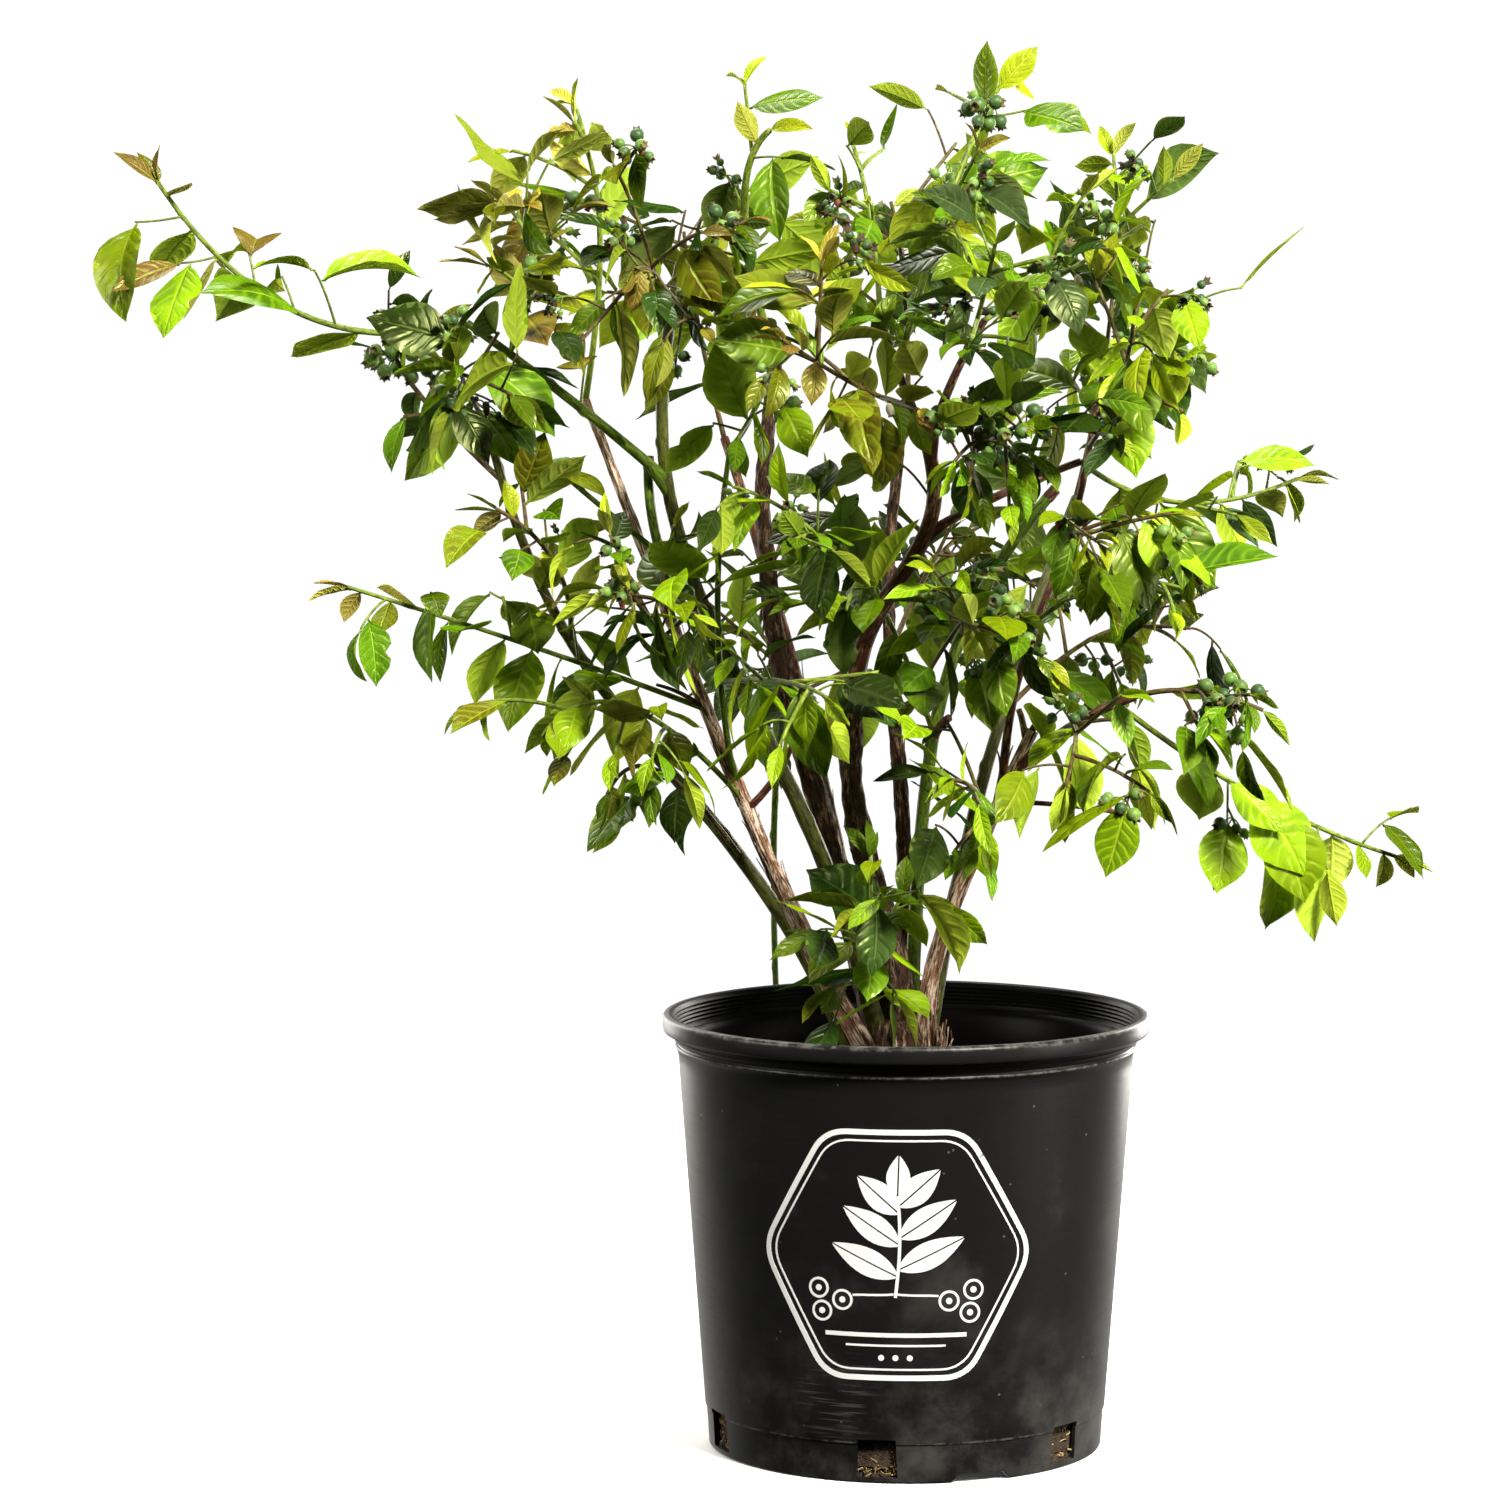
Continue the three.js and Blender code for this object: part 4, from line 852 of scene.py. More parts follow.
def bark_relief(seed, radius, length, bark):
    depth, rounds, rate, swell, _ = BARKS[bark]
    coarse, fine = ripples(seed, 9, rounds, rate), ripples(seed + 1, 12, rounds * 2 + 4, rate * 3)
    bends = ripples(seed + 2, 5, 1, 0.09)
    knots = np.arange(14, max(length - 8, 15), NODE_PITCH)

    def height(angle, along):
        ridged = 1 - 2 * np.abs(coarse(angle, along))
        shape = radius * depth * (0.5 * ridged + 0.6 * fine(angle, along) + 0.4 * bends(angle, along))
        for k, knot in enumerate(knots):
            turn = (angle - k * GOLDEN_TURN + math.pi) % TAU - math.pi
            shape = shape + swell * np.exp(-(turn / 0.5) ** 2 - ((along - knot) / 2.6) ** 2)
        return shape

    return height


def add_shreds(piece, limb, seed, count):
    """Thin strips of bark that lie along a limb and stand off it at one end."""
    roll = dice(seed)
    line = limb["line"]
    share = np.linspace(0, 1, 7)
    narrow = np.clip(1.15 - share, 0.12, 1)[:, None, None]
    for _ in range(count):
        start, span = roll() * 0.62, (10 + 26 * roll()) / line.length
        turn, width = roll() * TAU, 1.2 + 1.8 * roll()
        rise, veer = 0.8 + 3.2 * roll() ** 2, (roll() - 0.5) * 0.9
        t = np.clip(start + span * share, 0, 0.98)
        point, _, side, over = line.frame(t)
        angles = (turn + veer * share[:, None] + np.array([-0.5, 0, 0.5]) * width / limb["thick"])[..., None]
        normal = side[:, None] * np.cos(angles) + over[:, None] * np.sin(angles)
        out = taper(t, limb["thick"], limb["thin"], limb["flare"]) * 0.98 + rise * share ** 2.2
        strip = point[:, None] + normal * out[:, None, None]
        middle = strip[:, 1:2]
        piece.add(*slab(middle + (strip - middle) * narrow, normal, -0.1, 0.28))


def make_limb(name, limb, seed):
    piece = Piece("bark_" + name, skins["bark_" + limb["bark"]], skins["bark_russet"])
    line, thick, thin, bark = limb["line"], limb["thick"], limb["thin"], limb["bark"]
    relief = bark_relief(seed, thick, line.length, bark)
    add_tube(piece, line, (thick, thin, limb["flare"]), 22 if thick > 4 else 16,
             int(line.length / BARK_STEP), relief, seed * 37.0)
    if "on" in limb:  # a collar where it leaves its parent
        parent = limbs[limb["on"]]["line"]
        collar = Line(parent.at(limb["at"] - COLLAR_DOWN / parent.length), line.at(COLLAR_UP / line.length))
        add_tube(piece, collar, (thick * 0.8, thick), 14, 8)
    if name in PRUNED:
        end = Line(line.at(1 - PRUNED_LENGTH / line.length), line.at(1) + line.tangent(1) * 0.4)
        worn = ripples(seed + 9, 8, 5, 1.2)
        add_tube(piece, end, (thin + 0.35, thin + 0.35), 18, 8,
                 lambda angle, along: 0.35 * worn(angle, along), slot=1)
    add_shreds(piece, limb, seed + 7, round(BARKS[bark][4] * line.length / 400))
    piece.build(name, slot="cane" if limb["flare"] else "bough", sharp_angle=70)


# ---- Materials ----


class Wire:
    """What a node gives out. Arithmetic on it adds the nodes that do the sum."""

    def __init__(self, nodes, socket):
        self.nodes, self.socket = nodes, socket

    def math(self, operation, other=0.0):
        return self.nodes.node("Math", {0: self, 1: other}, operation=operation)

    def step(self, low, high):
        """0 at low and 1 at high, smooth between."""
        inputs = {"Value": self, "From Min": low, "From Max": high}
        return self.nodes.node("MapRange", inputs, interpolation_type="SMOOTHSTEP")

    def most(self, other):
        return self.math("MAXIMUM", other)

    def __add__(self, other):
        return self.math("ADD", other)

    def __sub__(self, other):
        return self.math("SUBTRACT", other)

    def __mul__(self, other):
        return self.math("MULTIPLY", other)

    def __pow__(self, other):
        return self.math("POWER", other)

    def __abs__(self):
        return self.math("ABSOLUTE")


class Nodes:
    """A node tree, and the ways to add to it."""

    def __init__(self, tree):
        self.tree = tree

    def put(self, socket, value):
        if isinstance(value, Wire):
            self.tree.links.new(value.socket, socket)
        else:
            socket.default_value = (*value, 1) if socket.type == "RGBA" else value

    def node(self, kind, inputs=(), out=0, **settings):
        node = self.tree.nodes.new("ShaderNode" + kind)
        for key, value in settings.items():
            setattr(node, key, value)
        for key, value in dict(inputs).items():
            self.put(node.inputs[key], value)
        return Wire(self, node.outputs[out])

    def parts(self, vector):
        """The three numbers of a vector."""
        split = self.node("SeparateXYZ", {0: vector}).socket.node
        return [Wire(self, output) for output in split.outputs]

    def mix(self, share, first, second):
        return self.node("Mix", {0: share, 6: first, 7: second}, 2, data_type="RGBA")

    def noise(self, vector, scale, detail=3, roughness=0.5):
        inputs = {"Vector": vector, "Scale": scale, "Detail": detail, "Roughness": roughness}
        return self.node("TexNoise", inputs)

    def vector_math(self, operation, first, second, out=0):
        return self.node("VectorMath", {0: first, 1: second}, out, operation=operation)

    def scaled(self, vector, *scale):
        return self.vector_math("MULTIPLY", vector, scale)


class Look(Nodes):
    """A material made of nodes round one shader."""

    def __init__(self, name, **sockets):
        self.material = bpy.data.materials.new(name)
        self.material.use_nodes = True
        super().__init__(self.material.node_tree)
        self.shader = next(node for node in self.tree.nodes if node.type == "BSDF_PRINCIPLED")
        self.set(**sockets)

    def set(self, **sockets):
        for name, value in sockets.items():
            self.put(self.shader.inputs[name.replace("_", " ").title().replace("Ior", "IOR")], value)

    def place(self):
        return self.node("Attribute", out="Vector", attribute_name="place")

    def where(self):
        return self.node("TexCoord", out="Object")

    def lone(self):
        """A number for each loose part of the mesh."""
        return self.node("NewGeometry", out="Random Per Island")

    def bump(self, height, strength, distance):
        inputs = {"Height": height, "Strength": strength, "Distance": distance}
        self.set(normal=self.node("Bump", inputs))
        return self.material


def leaf_look(name, base, vein, blotch, under=False):
    """A leaf's side: place holds its share along, its share across and its length."""
    look = Look(name, subsurface_weight=0.36, subsurface_scale=0.0006, subsurface_radius=(1, 1, 1),
                specular_tint=(0.9, 1.0, 0.4))
    look.shader.subsurface_method = "BURLEY"
    where, lone = look.where(), look.lone()
    along, across, _ = look.parts(look.place())
    side = abs(across)
    waver = (look.noise(where, 70, 2) - 0.5) * 0.16
    ahead = along - side ** 1.35 * 0.2 + waver
    hand = across.math("GREATER_THAN") * 0.4
    off = abs((ahead * 7 + hand).math("FRACT") - 0.5)  # from the nearest side vein
    fade = side.step(1, 0.6)
    net = look.node("TexVoronoi", {"Vector": where, "Scale": 420}, "Distance", feature="DISTANCE_TO_EDGE")
    branches = off.step(0.07, 0.015) * fade * 0.32
    veins = side.step(0.075, 0.02).most(branches).most(net.step(0.12, 0.02) * 0.12)
    blotches = look.noise(where, 48, 2).step(0.40, 0.64) * off.step(0.05, 0.28)
    colour = look.mix(veins * 0.7, look.mix(blotches * 0.85, base, blotch), vein)
    shade = {"Hue": lone * 0.028 + 0.474, "Value": lone * 0.8 + 0.60, "Color": colour}
    facing = look.node("LayerWeight", {"Blend": 0.5}, "Facing")
    look.set(base_color=look.node("HueSaturation", shade),
             specular_ior_level=facing.step(0.62, 0.30) * (0.12 if under else 0.36),
             roughness=look.noise(where, 90, 0) * 0.3 + (0.5 if under else 0.20))
    groove = side.step(0.16, 0).most(off.step(0.30, 0) * (fade * 0.45))
    pucker = look.noise(where, 100, 0) * 1.3
    return look.bump(pucker - groove, 0.6, -0.0011 if under else 0.0011)


def bark_look(name, dark, mid, pale, streak, depth, rough, mottle, bare=0.5):
    """Bark whose fibres run along the limb: place holds millimetres round and along it. The lower
    bare is, the more of it is pale."""
    look = Look(name, specular_ior_level=0.22)
    place = look.place()
    fibre = look.noise(look.scaled(place, 1, 1, streak), 0.75, 6, 0.72)
    patch = look.noise(look.scaled(place, 1, 1, 0.35), mottle, 3, 0.6)
    fine = look.noise(look.scaled(place, 3, 3, 1.2), 1.6, 2)
    colour = look.mix(fibre.step(0.40, 0.54), dark, mid)
    colour = look.mix(patch.step(bare, bare + 0.12) * fibre.step(0.42, 0.60), colour, pale)
    colour = look.mix(fine.step(0.60, 0.72) * 0.6, colour, dark)
    look.set(base_color=colour, roughness=fibre * 0.25 + rough)
    return look.bump(fibre + fine * 0.4, 0.7, depth)


def grain_look(name, first, second, third, scale, rough, depth, lone_share):
    """Loose or fleshy stuff: three colours mixed by noise and by piece."""
    look = Look(name, specular_ior_level=0.4)
    where = look.where()
    noise = look.noise(where, scale, 4, 0.6)
    mixed = look.lone() * lone_share + noise * (1 - lone_share)
    colour = look.mix(mixed.step(0.35, 0.5), first, second)
    look.set(base_color=look.mix(mixed.step(0.56, 0.72), colour, third), roughness=noise * 0.3 + rough)
    return look.bump(look.noise(where, scale * 5), 0.6, depth)


def pot_look():
    """Moulded black plastic: satin, scuffed at its edges, with fine scratches and dust, a painted highlight
    along the bead under the rim, and painted shade inside.
    """
    look = Look("moulded_plastic")
    where = look.where()
    height = look.parts(where)[2]
    # Bands at the rim, the foot's ledge and the bead: the first two are wear, the bead's band is a painted
    # highlight.
    rim, ledge, bead_highlight = (abs(height - level).step(*reach) for level, reach in (
        (0.2493, (0.0026, 0.0006)), (0.0228, (0.0012, 0.0002)), (0.2316, (0.0011, 0.0002))))
    normal = look.node("TexCoord", out="Normal")
    # 1 on the pot's outside; the inside gets painted shade below.
    outside_not_painted_shade = look.vector_math("DOT_PRODUCT", look.scaled(where, 1, 1, 0), normal, "Value").step(-0.02, 0)
    # Wear at the rim and ledge, and a painted highlight along the bead.
    worn = rim.most(ledge).most(bead_highlight) * look.noise(where, 160, 4, 0.7).step(0.42, 0.62) * outside_not_painted_shade
    dust = look.node("TexVoronoi", {"Vector": where, "Scale": 95}, "Distance")
    specks = dust.step(0.085, 0.05) * look.noise(where, 60, 0).step(0.56, 0.60)
    rub = look.vector_math("DISTANCE", where, (-0.042, -0.110, 0.049), "Value")
    lines = look.noise(look.scaled(where, 25, 25, 700), 1, 2)
    rubbed = rub.step(0.034, 0.012) * lines.step(0.56, 0.64)
    # These lighten the plastic: scuffs, rubbing and dust specks, with the painted bead highlight among them.
    marks_and_highlight = (worn * 0.7).most(rubbed * 0.35).most(specks * 0.8)
    cloud = look.noise(where, 14, 5, 0.6)
    smear = cloud.step(0.50, 0.75) * (height.step(0.26, 0.13) * 0.26)
    grime = look.noise(where, 30, 5, 0.7).step(0.40, 0.75) * height.step(0.11, 0)
    colour = look.mix(marks_and_highlight.most(smear + grime * 0.36), (0.0066, 0.0065, 0.0063), (0.12, 0.115, 0.105))
    hair = look.noise(look.scaled(where, 30, 30, 900), 1, 4, 0.6)
    # Painted shade: the inside is darker and less shiny than the outside.
    look.set(base_color=look.mix(outside_not_painted_shade, (0.0015, 0.0015, 0.0016), colour),
             specular_ior_level=outside_not_painted_shade * 0.27 + 0.05,
             roughness=cloud * 0.22 + hair * 0.12 + 0.24)
    return look.bump(look.noise(where, 1400, 2) * 0.4 + hair * 0.35, 0.25, 0.0004)


def ink_look():
    look = Look("white_ink", specular_ior_level=0.4)
    where = look.where()
    flaw = look.noise(where, 420, 4, 0.7).step(0.66, 0.72) * 0.6
    look.set(base_color=look.mix(flaw, (0.90, 0.90, 0.89), (0.12, 0.12, 0.12)),
             roughness=look.noise(where, 90) * 0.2 + 0.38)
    return look.material


SKINS = {  # dark, mid and pale colour, streak, depth, roughness, mottle and how bare
    "bark_fibrous": ((0.012, 0.006, 0.004), (0.085, 0.042, 0.024), (0.42, 0.26, 0.16),
                     0.16, 0.0018, 0.6, 0.26),
    "bark_peeling": ((0.040, 0.014, 0.007), (0.36, 0.175, 0.090), (0.92, 0.74, 0.57),
                     0.10, 0.0014, 0.42, 0.26, 0.42),
    "bark_russet": ((0.020, 0.006, 0.004), (0.11, 0.036, 0.019), (0.42, 0.22, 0.12),
                    0.16, 0.0010, 0.42, 0.2),
    "bark_green": ((0.040, 0.045, 0.004), (0.080, 0.150, 0.006), (0.20, 0.30, 0.015),
                   0.22, 0.0004, 0.34, 0.12),
    "bark_olive": ((0.020, 0.013, 0.004), (0.062, 0.072, 0.006), (0.14, 0.155, 0.015),
                   0.18, 0.0005, 0.36, 0.11),
    "shoot_green": ((0.075, 0.095, 0.012), (0.17, 0.25, 0.02), (0.30, 0.38, 0.04), 0.3, 0.0002, 0.35, 0.3),
    "shoot_brown": ((0.045, 0.020, 0.010), (0.11, 0.075, 0.022), (0.17, 0.19, 0.03), 0.3, 0.0003, 0.42, 0.2),
}
GRAINS = {  # three colours, scale of the noise, roughness, depth and the share that goes by piece
    "potting_mix": ((0.018, 0.011, 0.007), (0.055, 0.034, 0.02), (0.12, 0.08, 0.045), 220, 0.75, 0.002, 0),
    "bark_chips": ((0.03, 0.017, 0.01), (0.10, 0.055, 0.032), (0.22, 0.14, 0.09), 160, 0.7, 0.0008, 0.7),
    "perlite": ((0.5, 0.48, 0.44), (0.66, 0.64, 0.6), (0.75, 0.73, 0.7), 300, 0.8, 0.0006, 0.5),
    "fine_roots": ((0.10, 0.06, 0.02), (0.30, 0.20, 0.07), (0.50, 0.38, 0.18), 180, 0.5, 0.0004, 0.6),
    "berry_skin": ((0.04, 0.09, 0.022), (0.085, 0.165, 0.028), (0.16, 0.28, 0.045), 160, 0.34, 0.0002, 0.6),
    "berry_calyx": ((0.05, 0.035, 0.012), (0.14, 0.12, 0.03), (0.24, 0.29, 0.07), 400, 0.6, 0.0004, 0.4),
    "petals": ((0.62, 0.48, 0.36), (0.74, 0.66, 0.50), (0.80, 0.75, 0.62), 200, 0.4, 0.0002, 0.5),
    "dried_petals": ((0.05, 0.01, 0.006), (0.14, 0.028, 0.014), (0.22, 0.07, 0.03), 300, 0.6, 0.0003, 0.5),
}
skins = {name: bark_look(name, *row) for name, row in SKINS.items()}
grains = {name: grain_look(name, *row) for name, row in GRAINS.items()}
leaf_looks = []
for tint, (base, vein, blotch, below) in TINTS.items():
    paler = [0.75 * part for part in below]
    leaf_looks.append(leaf_look("leaf_upper_" + tint, base, vein, blotch))
    leaf_looks.append(leaf_look("leaf_under_" + tint, below, vein, paler, under=True))


# ---- The pot and what fills it ----

SIDES = 168
SOIL_GAP = 1.6
RING_PITCH = 2.3
CHIPS, WINDOW_ROOTS = 760, 34


def wall_radius(height):
    share = (height - FOOT_HEIGHT) / (NECK_HEIGHT - FOOT_HEIGHT)
    return SHOULDER_RADIUS + (NECK_RADIUS - SHOULDER_RADIUS) * share


def arc(across, up, radius, start, end, count):
    angles = np.radians(np.linspace(start, end, count))
    return [(across + radius * math.cos(a), up + radius * math.sin(a)) for a in angles]


def pot_profile():
    """Points from the middle of the underside round the outside and back down the inside."""
    foot, neck, rim, inner = FOOT_RADIUS, NECK_RADIUS, RIM_RADIUS, RIM_CREST - 3
    profile = [
        (0, 0), (BOSS_RADIUS, 0), (BOSS_RADIUS + 2, FLOOR_UNDER), (foot - 3, FLOOR_UNDER),
        (foot - 2.2, 0), (foot - 0.6, 0), (foot, 0.7), (foot + 0.7, 11), (foot + 1.4, FOOT_HEIGHT - 1.2),
        (foot + 1.5, FOOT_HEIGHT - 0.5), (SHOULDER_RADIUS - 0.2, FOOT_HEIGHT - 0.2),
        *[(wall_radius(h), h) for h in (FOOT_HEIGHT + 0.5, 30, 60, 95, 130, 165, 200, 222, 228)],
        *arc(neck + 0.1, 231.4, 1.2, -60, 80, 5),
        (neck + 0.2, 233.6), (neck + 1.2, 234.6), (rim - 6.4, RIM_BAND - 1.2),
        *arc(rim - 1.6, RIM_BAND + 1.3, 1.3, -110, 0, 5),
        (rim - 0.05, 243.5),
        *arc(rim - 2.4, POT_HEIGHT - 2.4, 2.4, 0, 90, 6),
        (RIM_CREST - 1.5, POT_HEIGHT), (RIM_CREST - 2.6, POT_HEIGHT - 0.6),
    ]
    for k in range(5):  # fine rings moulded inside the rim
        edge, top = inner - 0.1 * k, POT_HEIGHT - 2.2 - RING_PITCH * k
        profile += [(edge, top), (edge - 0.8, top - 0.9), (edge - 0.8, top - 1.5), (edge, top - 2.1)]
    profile += [(inner - 0.9, 234.6), (inner - 2.6, 233.8)]
    profile += [(wall_radius(h) - POT_WALL - 0.3, h) for h in (230, 215, 206, 150, 90, 40, 24)]
    return profile + [(foot - POT_WALL, FLOOR_TOP), (0, FLOOR_TOP)]


def lathe(profile, sides=SIDES):
    """A closed profile turned about the Z axis. Its first and last points lie on the axis."""
    angle = np.arange(sides) / sides * TAU
    radius, height = np.array(profile[1:-1], float).T[..., None]
    rings = np.stack([radius * np.sin(angle), -radius * np.cos(angle), height + 0 * angle], -1)
    return shell(rings, [(0, 0, profile[0][1]), (0, 0, profile[-1][1])])


def prism(half, near, far, turn):
    """A cutter through the pot's foot, from the right half of an outline of (x, z) points."""
    left = [(-x, z) for x, z in half]
    outline = left[:1] + half + left[:0:-1]
    points = [(x, -depth, z) for depth in (near, far) for x, z in outline]
    ring = np.arange(len(outline))
    after, behind = np.roll(ring, -1), ring + len(ring)
    walls = np.stack([ring, after, after + len(ring), behind], -1)
    return spin(points, 2, turn), [walls, ring[None, ::-1], behind[None]]


def make_pot():
    pot_piece, cutter = Piece("pot_body", pot_look()), Piece("cutter")
    pot_piece.add(*lathe(pot_profile()))
    pot = pot_piece.build("pot", slot="pot")
    half, notch_half, notch_top = WINDOW_WIDTH / 2, NOTCH_WIDTH / 2, NOTCH_TOP_WIDTH / 2
    window = [(half, WINDOW_SILL), (half - 0.8, WINDOW_HEAD)]
    notch = [(notch_half, -1), (notch_top + 1, NOTCH_HEIGHT - 0.6), (notch_top - 1, NOTCH_HEIGHT)]
    for outline, count, angle in ((window, WINDOWS, WINDOW_ANGLE), (notch, NOTCHES, NOTCH_ANGLE)):
        for k in range(count):
            turn = math.radians(angle + k * 360 / count)
            cutter.add(*prism(outline, FOOT_RADIUS - 9, FOOT_RADIUS + 11, turn))
    tool = cutter.build(slot="pot")
    cut = pot.modifiers.new("cut", "BOOLEAN")
    cut.operation, cut.solver, cut.object = "DIFFERENCE", "EXACT", tool
    shaped = bpy.data.meshes.new_from_object(pot.evaluated_get(bpy.context.evaluated_depsgraph_get()))
    pot.modifiers.clear()
    pot.data = shaped
    bpy.data.objects.remove(tool)
    shaped.set_sharp_from_angle(angle=math.radians(35))


def add_mix(piece, edge):
    """The body of potting mix, with a lumpy top."""
    inside, low, top = FOOT_RADIUS - POT_WALL, FLOOR_TOP + 0.4, SOIL_LEVEL - 1.4
    gap = POT_WALL + SOIL_GAP
    profile = [(0, low), (60, low), (inside - 1.2, low), *[(inside - 0.9, h) for h in (12, 16, 20)],
               (SHOULDER_RADIUS - gap, 24), (wall_radius(120) - gap, 120), (edge, SOIL_LEVEL - 3)]
    profile += [(edge * share, top) for share in np.linspace(0.985, 0.04, 40)]
    points, faces = lathe(profile + [(0, top)], 120)
    radius = np.hypot(points[:, 0], points[:, 1])
    lump = ripples(91, 14, 7, 0.3)(np.arctan2(points[:, 1], points[:, 0]), radius)
    calm = np.clip((edge - radius) / 8, 0, 1) * np.clip(radius / 12, 0, 1)
    points[:, 2] += 1.4 * lump * calm * (points[:, 2] > SOIL_LEVEL - 2)
    piece.add(points, faces)


def make_soil():
    """Potting mix with bark chips and perlite on top, and roots in the drain windows."""
    looks = [grains[name] for name in ("potting_mix", "bark_chips", "perlite", "fine_roots")]
    piece = Piece("potting_mix", *looks)
    edge = wall_radius(SOIL_LEVEL) - POT_WALL - SOIL_GAP
    add_mix(piece, edge)
    roll = dice(77)
    for k in range(CHIPS):
        reach, turn, white = edge * math.sqrt(roll()) * 0.96, roll() * TAU, k % 5 == 0
        size = (2 + 2 * roll(),) * 3 if white else (4 + 9 * roll(), 2.5 + 3 * roll(), 0.8 + 1.2 * roll())
        lean = [roll() * TAU, (roll() - 0.5) * 1.3, (roll() - 0.5) * 1.3]
        centre = (reach * math.cos(turn), reach * math.sin(turn), SOIL_LEVEL - 1.2 + 1.6 * roll())
        add_chip(piece, centre, size, lean, 2 if white else 1, roll)
    for window in range(WINDOWS):
        turn = math.radians(WINDOW_ANGLE + window * 360 / WINDOWS)
        add_plug(piece, turn, 400 + window)
        for _ in range(WINDOW_ROOTS):
            x, z = (roll() - 0.5) * WINDOW_WIDTH * 0.9, WINDOW_SILL + 1.5 + roll() * 19
            y = -(FOOT_RADIUS - 4.6 + 1.6 * roll())
            ends = [(x, y, z), (x + (roll() - 0.5) * 13, y + 0.6, z + (roll() - 0.5) * 9)]
            root = Line(*spin(ends, 2, turn), ((roll() - 0.5) * 4, 0, (roll() - 0.5) * 4))
            add_tube(piece, root, (0.55, 0.35), 5, 6, slot=3)
    piece.build("soil", slot="soil", sharp_angle=40)


def add_plug(piece, turn, seed):
    """Soil that has pushed into a drain window, with a rough face."""
    x, z = np.meshgrid(np.linspace(-1, 1, 19) * (WINDOW_WIDTH / 2 - 0.5),
                       np.linspace(0.6, WINDOW_HEAD - 0.6, 17))
    depth = FOOT_RADIUS - 4.8 + 0.9 * ripples(seed, 12, 6, 0.5)(x * 0.5, z * 2)
    front, back = (np.stack([x, y, z], -1) for y in (-depth, 0 * x + 9.5 - FOOT_RADIUS))
    points, faces = slab(front, back - front, 1, 0)
    piece.add(spin(points, 2, turn), faces)


def add_chip(piece, centre, size, lean, slot, roll):
    """An irregular eight-cornered chip."""
    corners = np.array([(x, y, z) for z in (-1, 1) for y in (-1, 1) for x in (-1, 1)], float)
    corners *= np.array([[0.7 + 0.6 * roll() for _ in range(3)] for _ in range(8)])
    corners *= np.array(size) / 2
    for axis, angle in zip((1, 0, 2), lean[::-1]):
        corners = spin(corners, axis, angle)
    quads = [(0, 2, 3, 1), (4, 5, 7, 6), (0, 1, 5, 4), (2, 6, 7, 3), (0, 4, 6, 2), (1, 3, 7, 5)]
    piece.add(corners + centre, [quads], slot)


# ---- The print on the pot's front ----

PRINT_HEIGHT = 131
PRINT_ANGLE = -4.2


def add_print(piece, flat):
    """Ink over a grid of (x, z) places about the print's middle, laid on the pot's wall."""
    flat = np.asarray(flat, float)
    height = PRINT_HEIGHT + flat[..., 1]
    radius = wall_radius(height)
    angle = math.radians(PRINT_ANGLE) + flat[..., 0] / radius
    x, y = np.sin(angle), -np.cos(angle)
    points = np.stack([x * radius, y * radius, height], -1)
    piece.add(*slab(points, np.stack([x, y, 0 * x], -1), -0.05, 0.22))


def stroke(piece, path, width):
    """A line of even width along a path of flat points."""
    path = np.asarray(path, float)
    along = unit(np.gradient(path, axis=0))
    square = np.stack([-along[:, 1], along[:, 0]], -1) * width / 2
    add_print(piece, np.stack([path + square, path - square], 1))


def print_leaf(piece, foot, degrees, length, width):
    """A leaf in two halves with a bare midrib between them."""
    t = np.linspace(0.02, 1, 14)
    half = np.sin(math.pi * t ** 0.85) ** 0.9 * width / 2
    half[-1] = 0.02
    ahead = np.array([math.cos(math.radians(degrees)), math.sin(math.radians(degrees))])
    square = np.array([-ahead[1], ahead[0]])
    middle = foot + ahead * (t * length)[:, None]
    for shares in ((0, -0.5, -1), (1, 0.5, 0)):
        hand = 1 if shares[0] else -1
        offsets = [0.45 * hand + half * share for share in shares]
        add_print(piece, np.stack([middle + square * offset[:, None] for offset in offsets], 1))


def print_ring(piece, x, z, radius, hole):
    turn, mean = np.linspace(0, TAU, 33), (radius + hole) / 2
    stroke(piece, np.stack([x + mean * np.cos(turn), z + mean * np.sin(turn)], 1), radius - hole)


def print_dot(piece, x, z, radius):
    across = radius * np.cos(np.linspace(math.pi, 0, 13))
    half = np.maximum(np.sqrt(np.maximum(radius ** 2 - across ** 2, 0)), 0.02)
    add_print(piece, np.stack([np.stack([x + across, z + half * s], 1) for s in (1, 0, -1)], 1))


def frame_path(half_width, half_height, rounding):
    """A hexagon with rounded corners, wider than it is tall."""
    corners = [(0.5, 1), (1, 0), (0.5, -1), (-0.5, -1), (-1, 0), (-0.5, 1)]
    corners = np.array(corners * 2) * (half_width, half_height)
    path = []
    for here, after, beyond in zip(corners[:6], corners[1:], corners[2:]):
        trim = unit(after - here) * rounding
        enter, leave = after - trim, after + unit(beyond - after) * rounding
        path += [here + trim + (after - here - 2 * trim) * t for t in np.linspace(0, 1, 14)]
        path += [(1 - t) ** 2 * enter + 2 * t * (1 - t) * after + t ** 2 * leave
                 for t in np.linspace(0, 1, 9)[1:-1]]
    return path + path[:2]


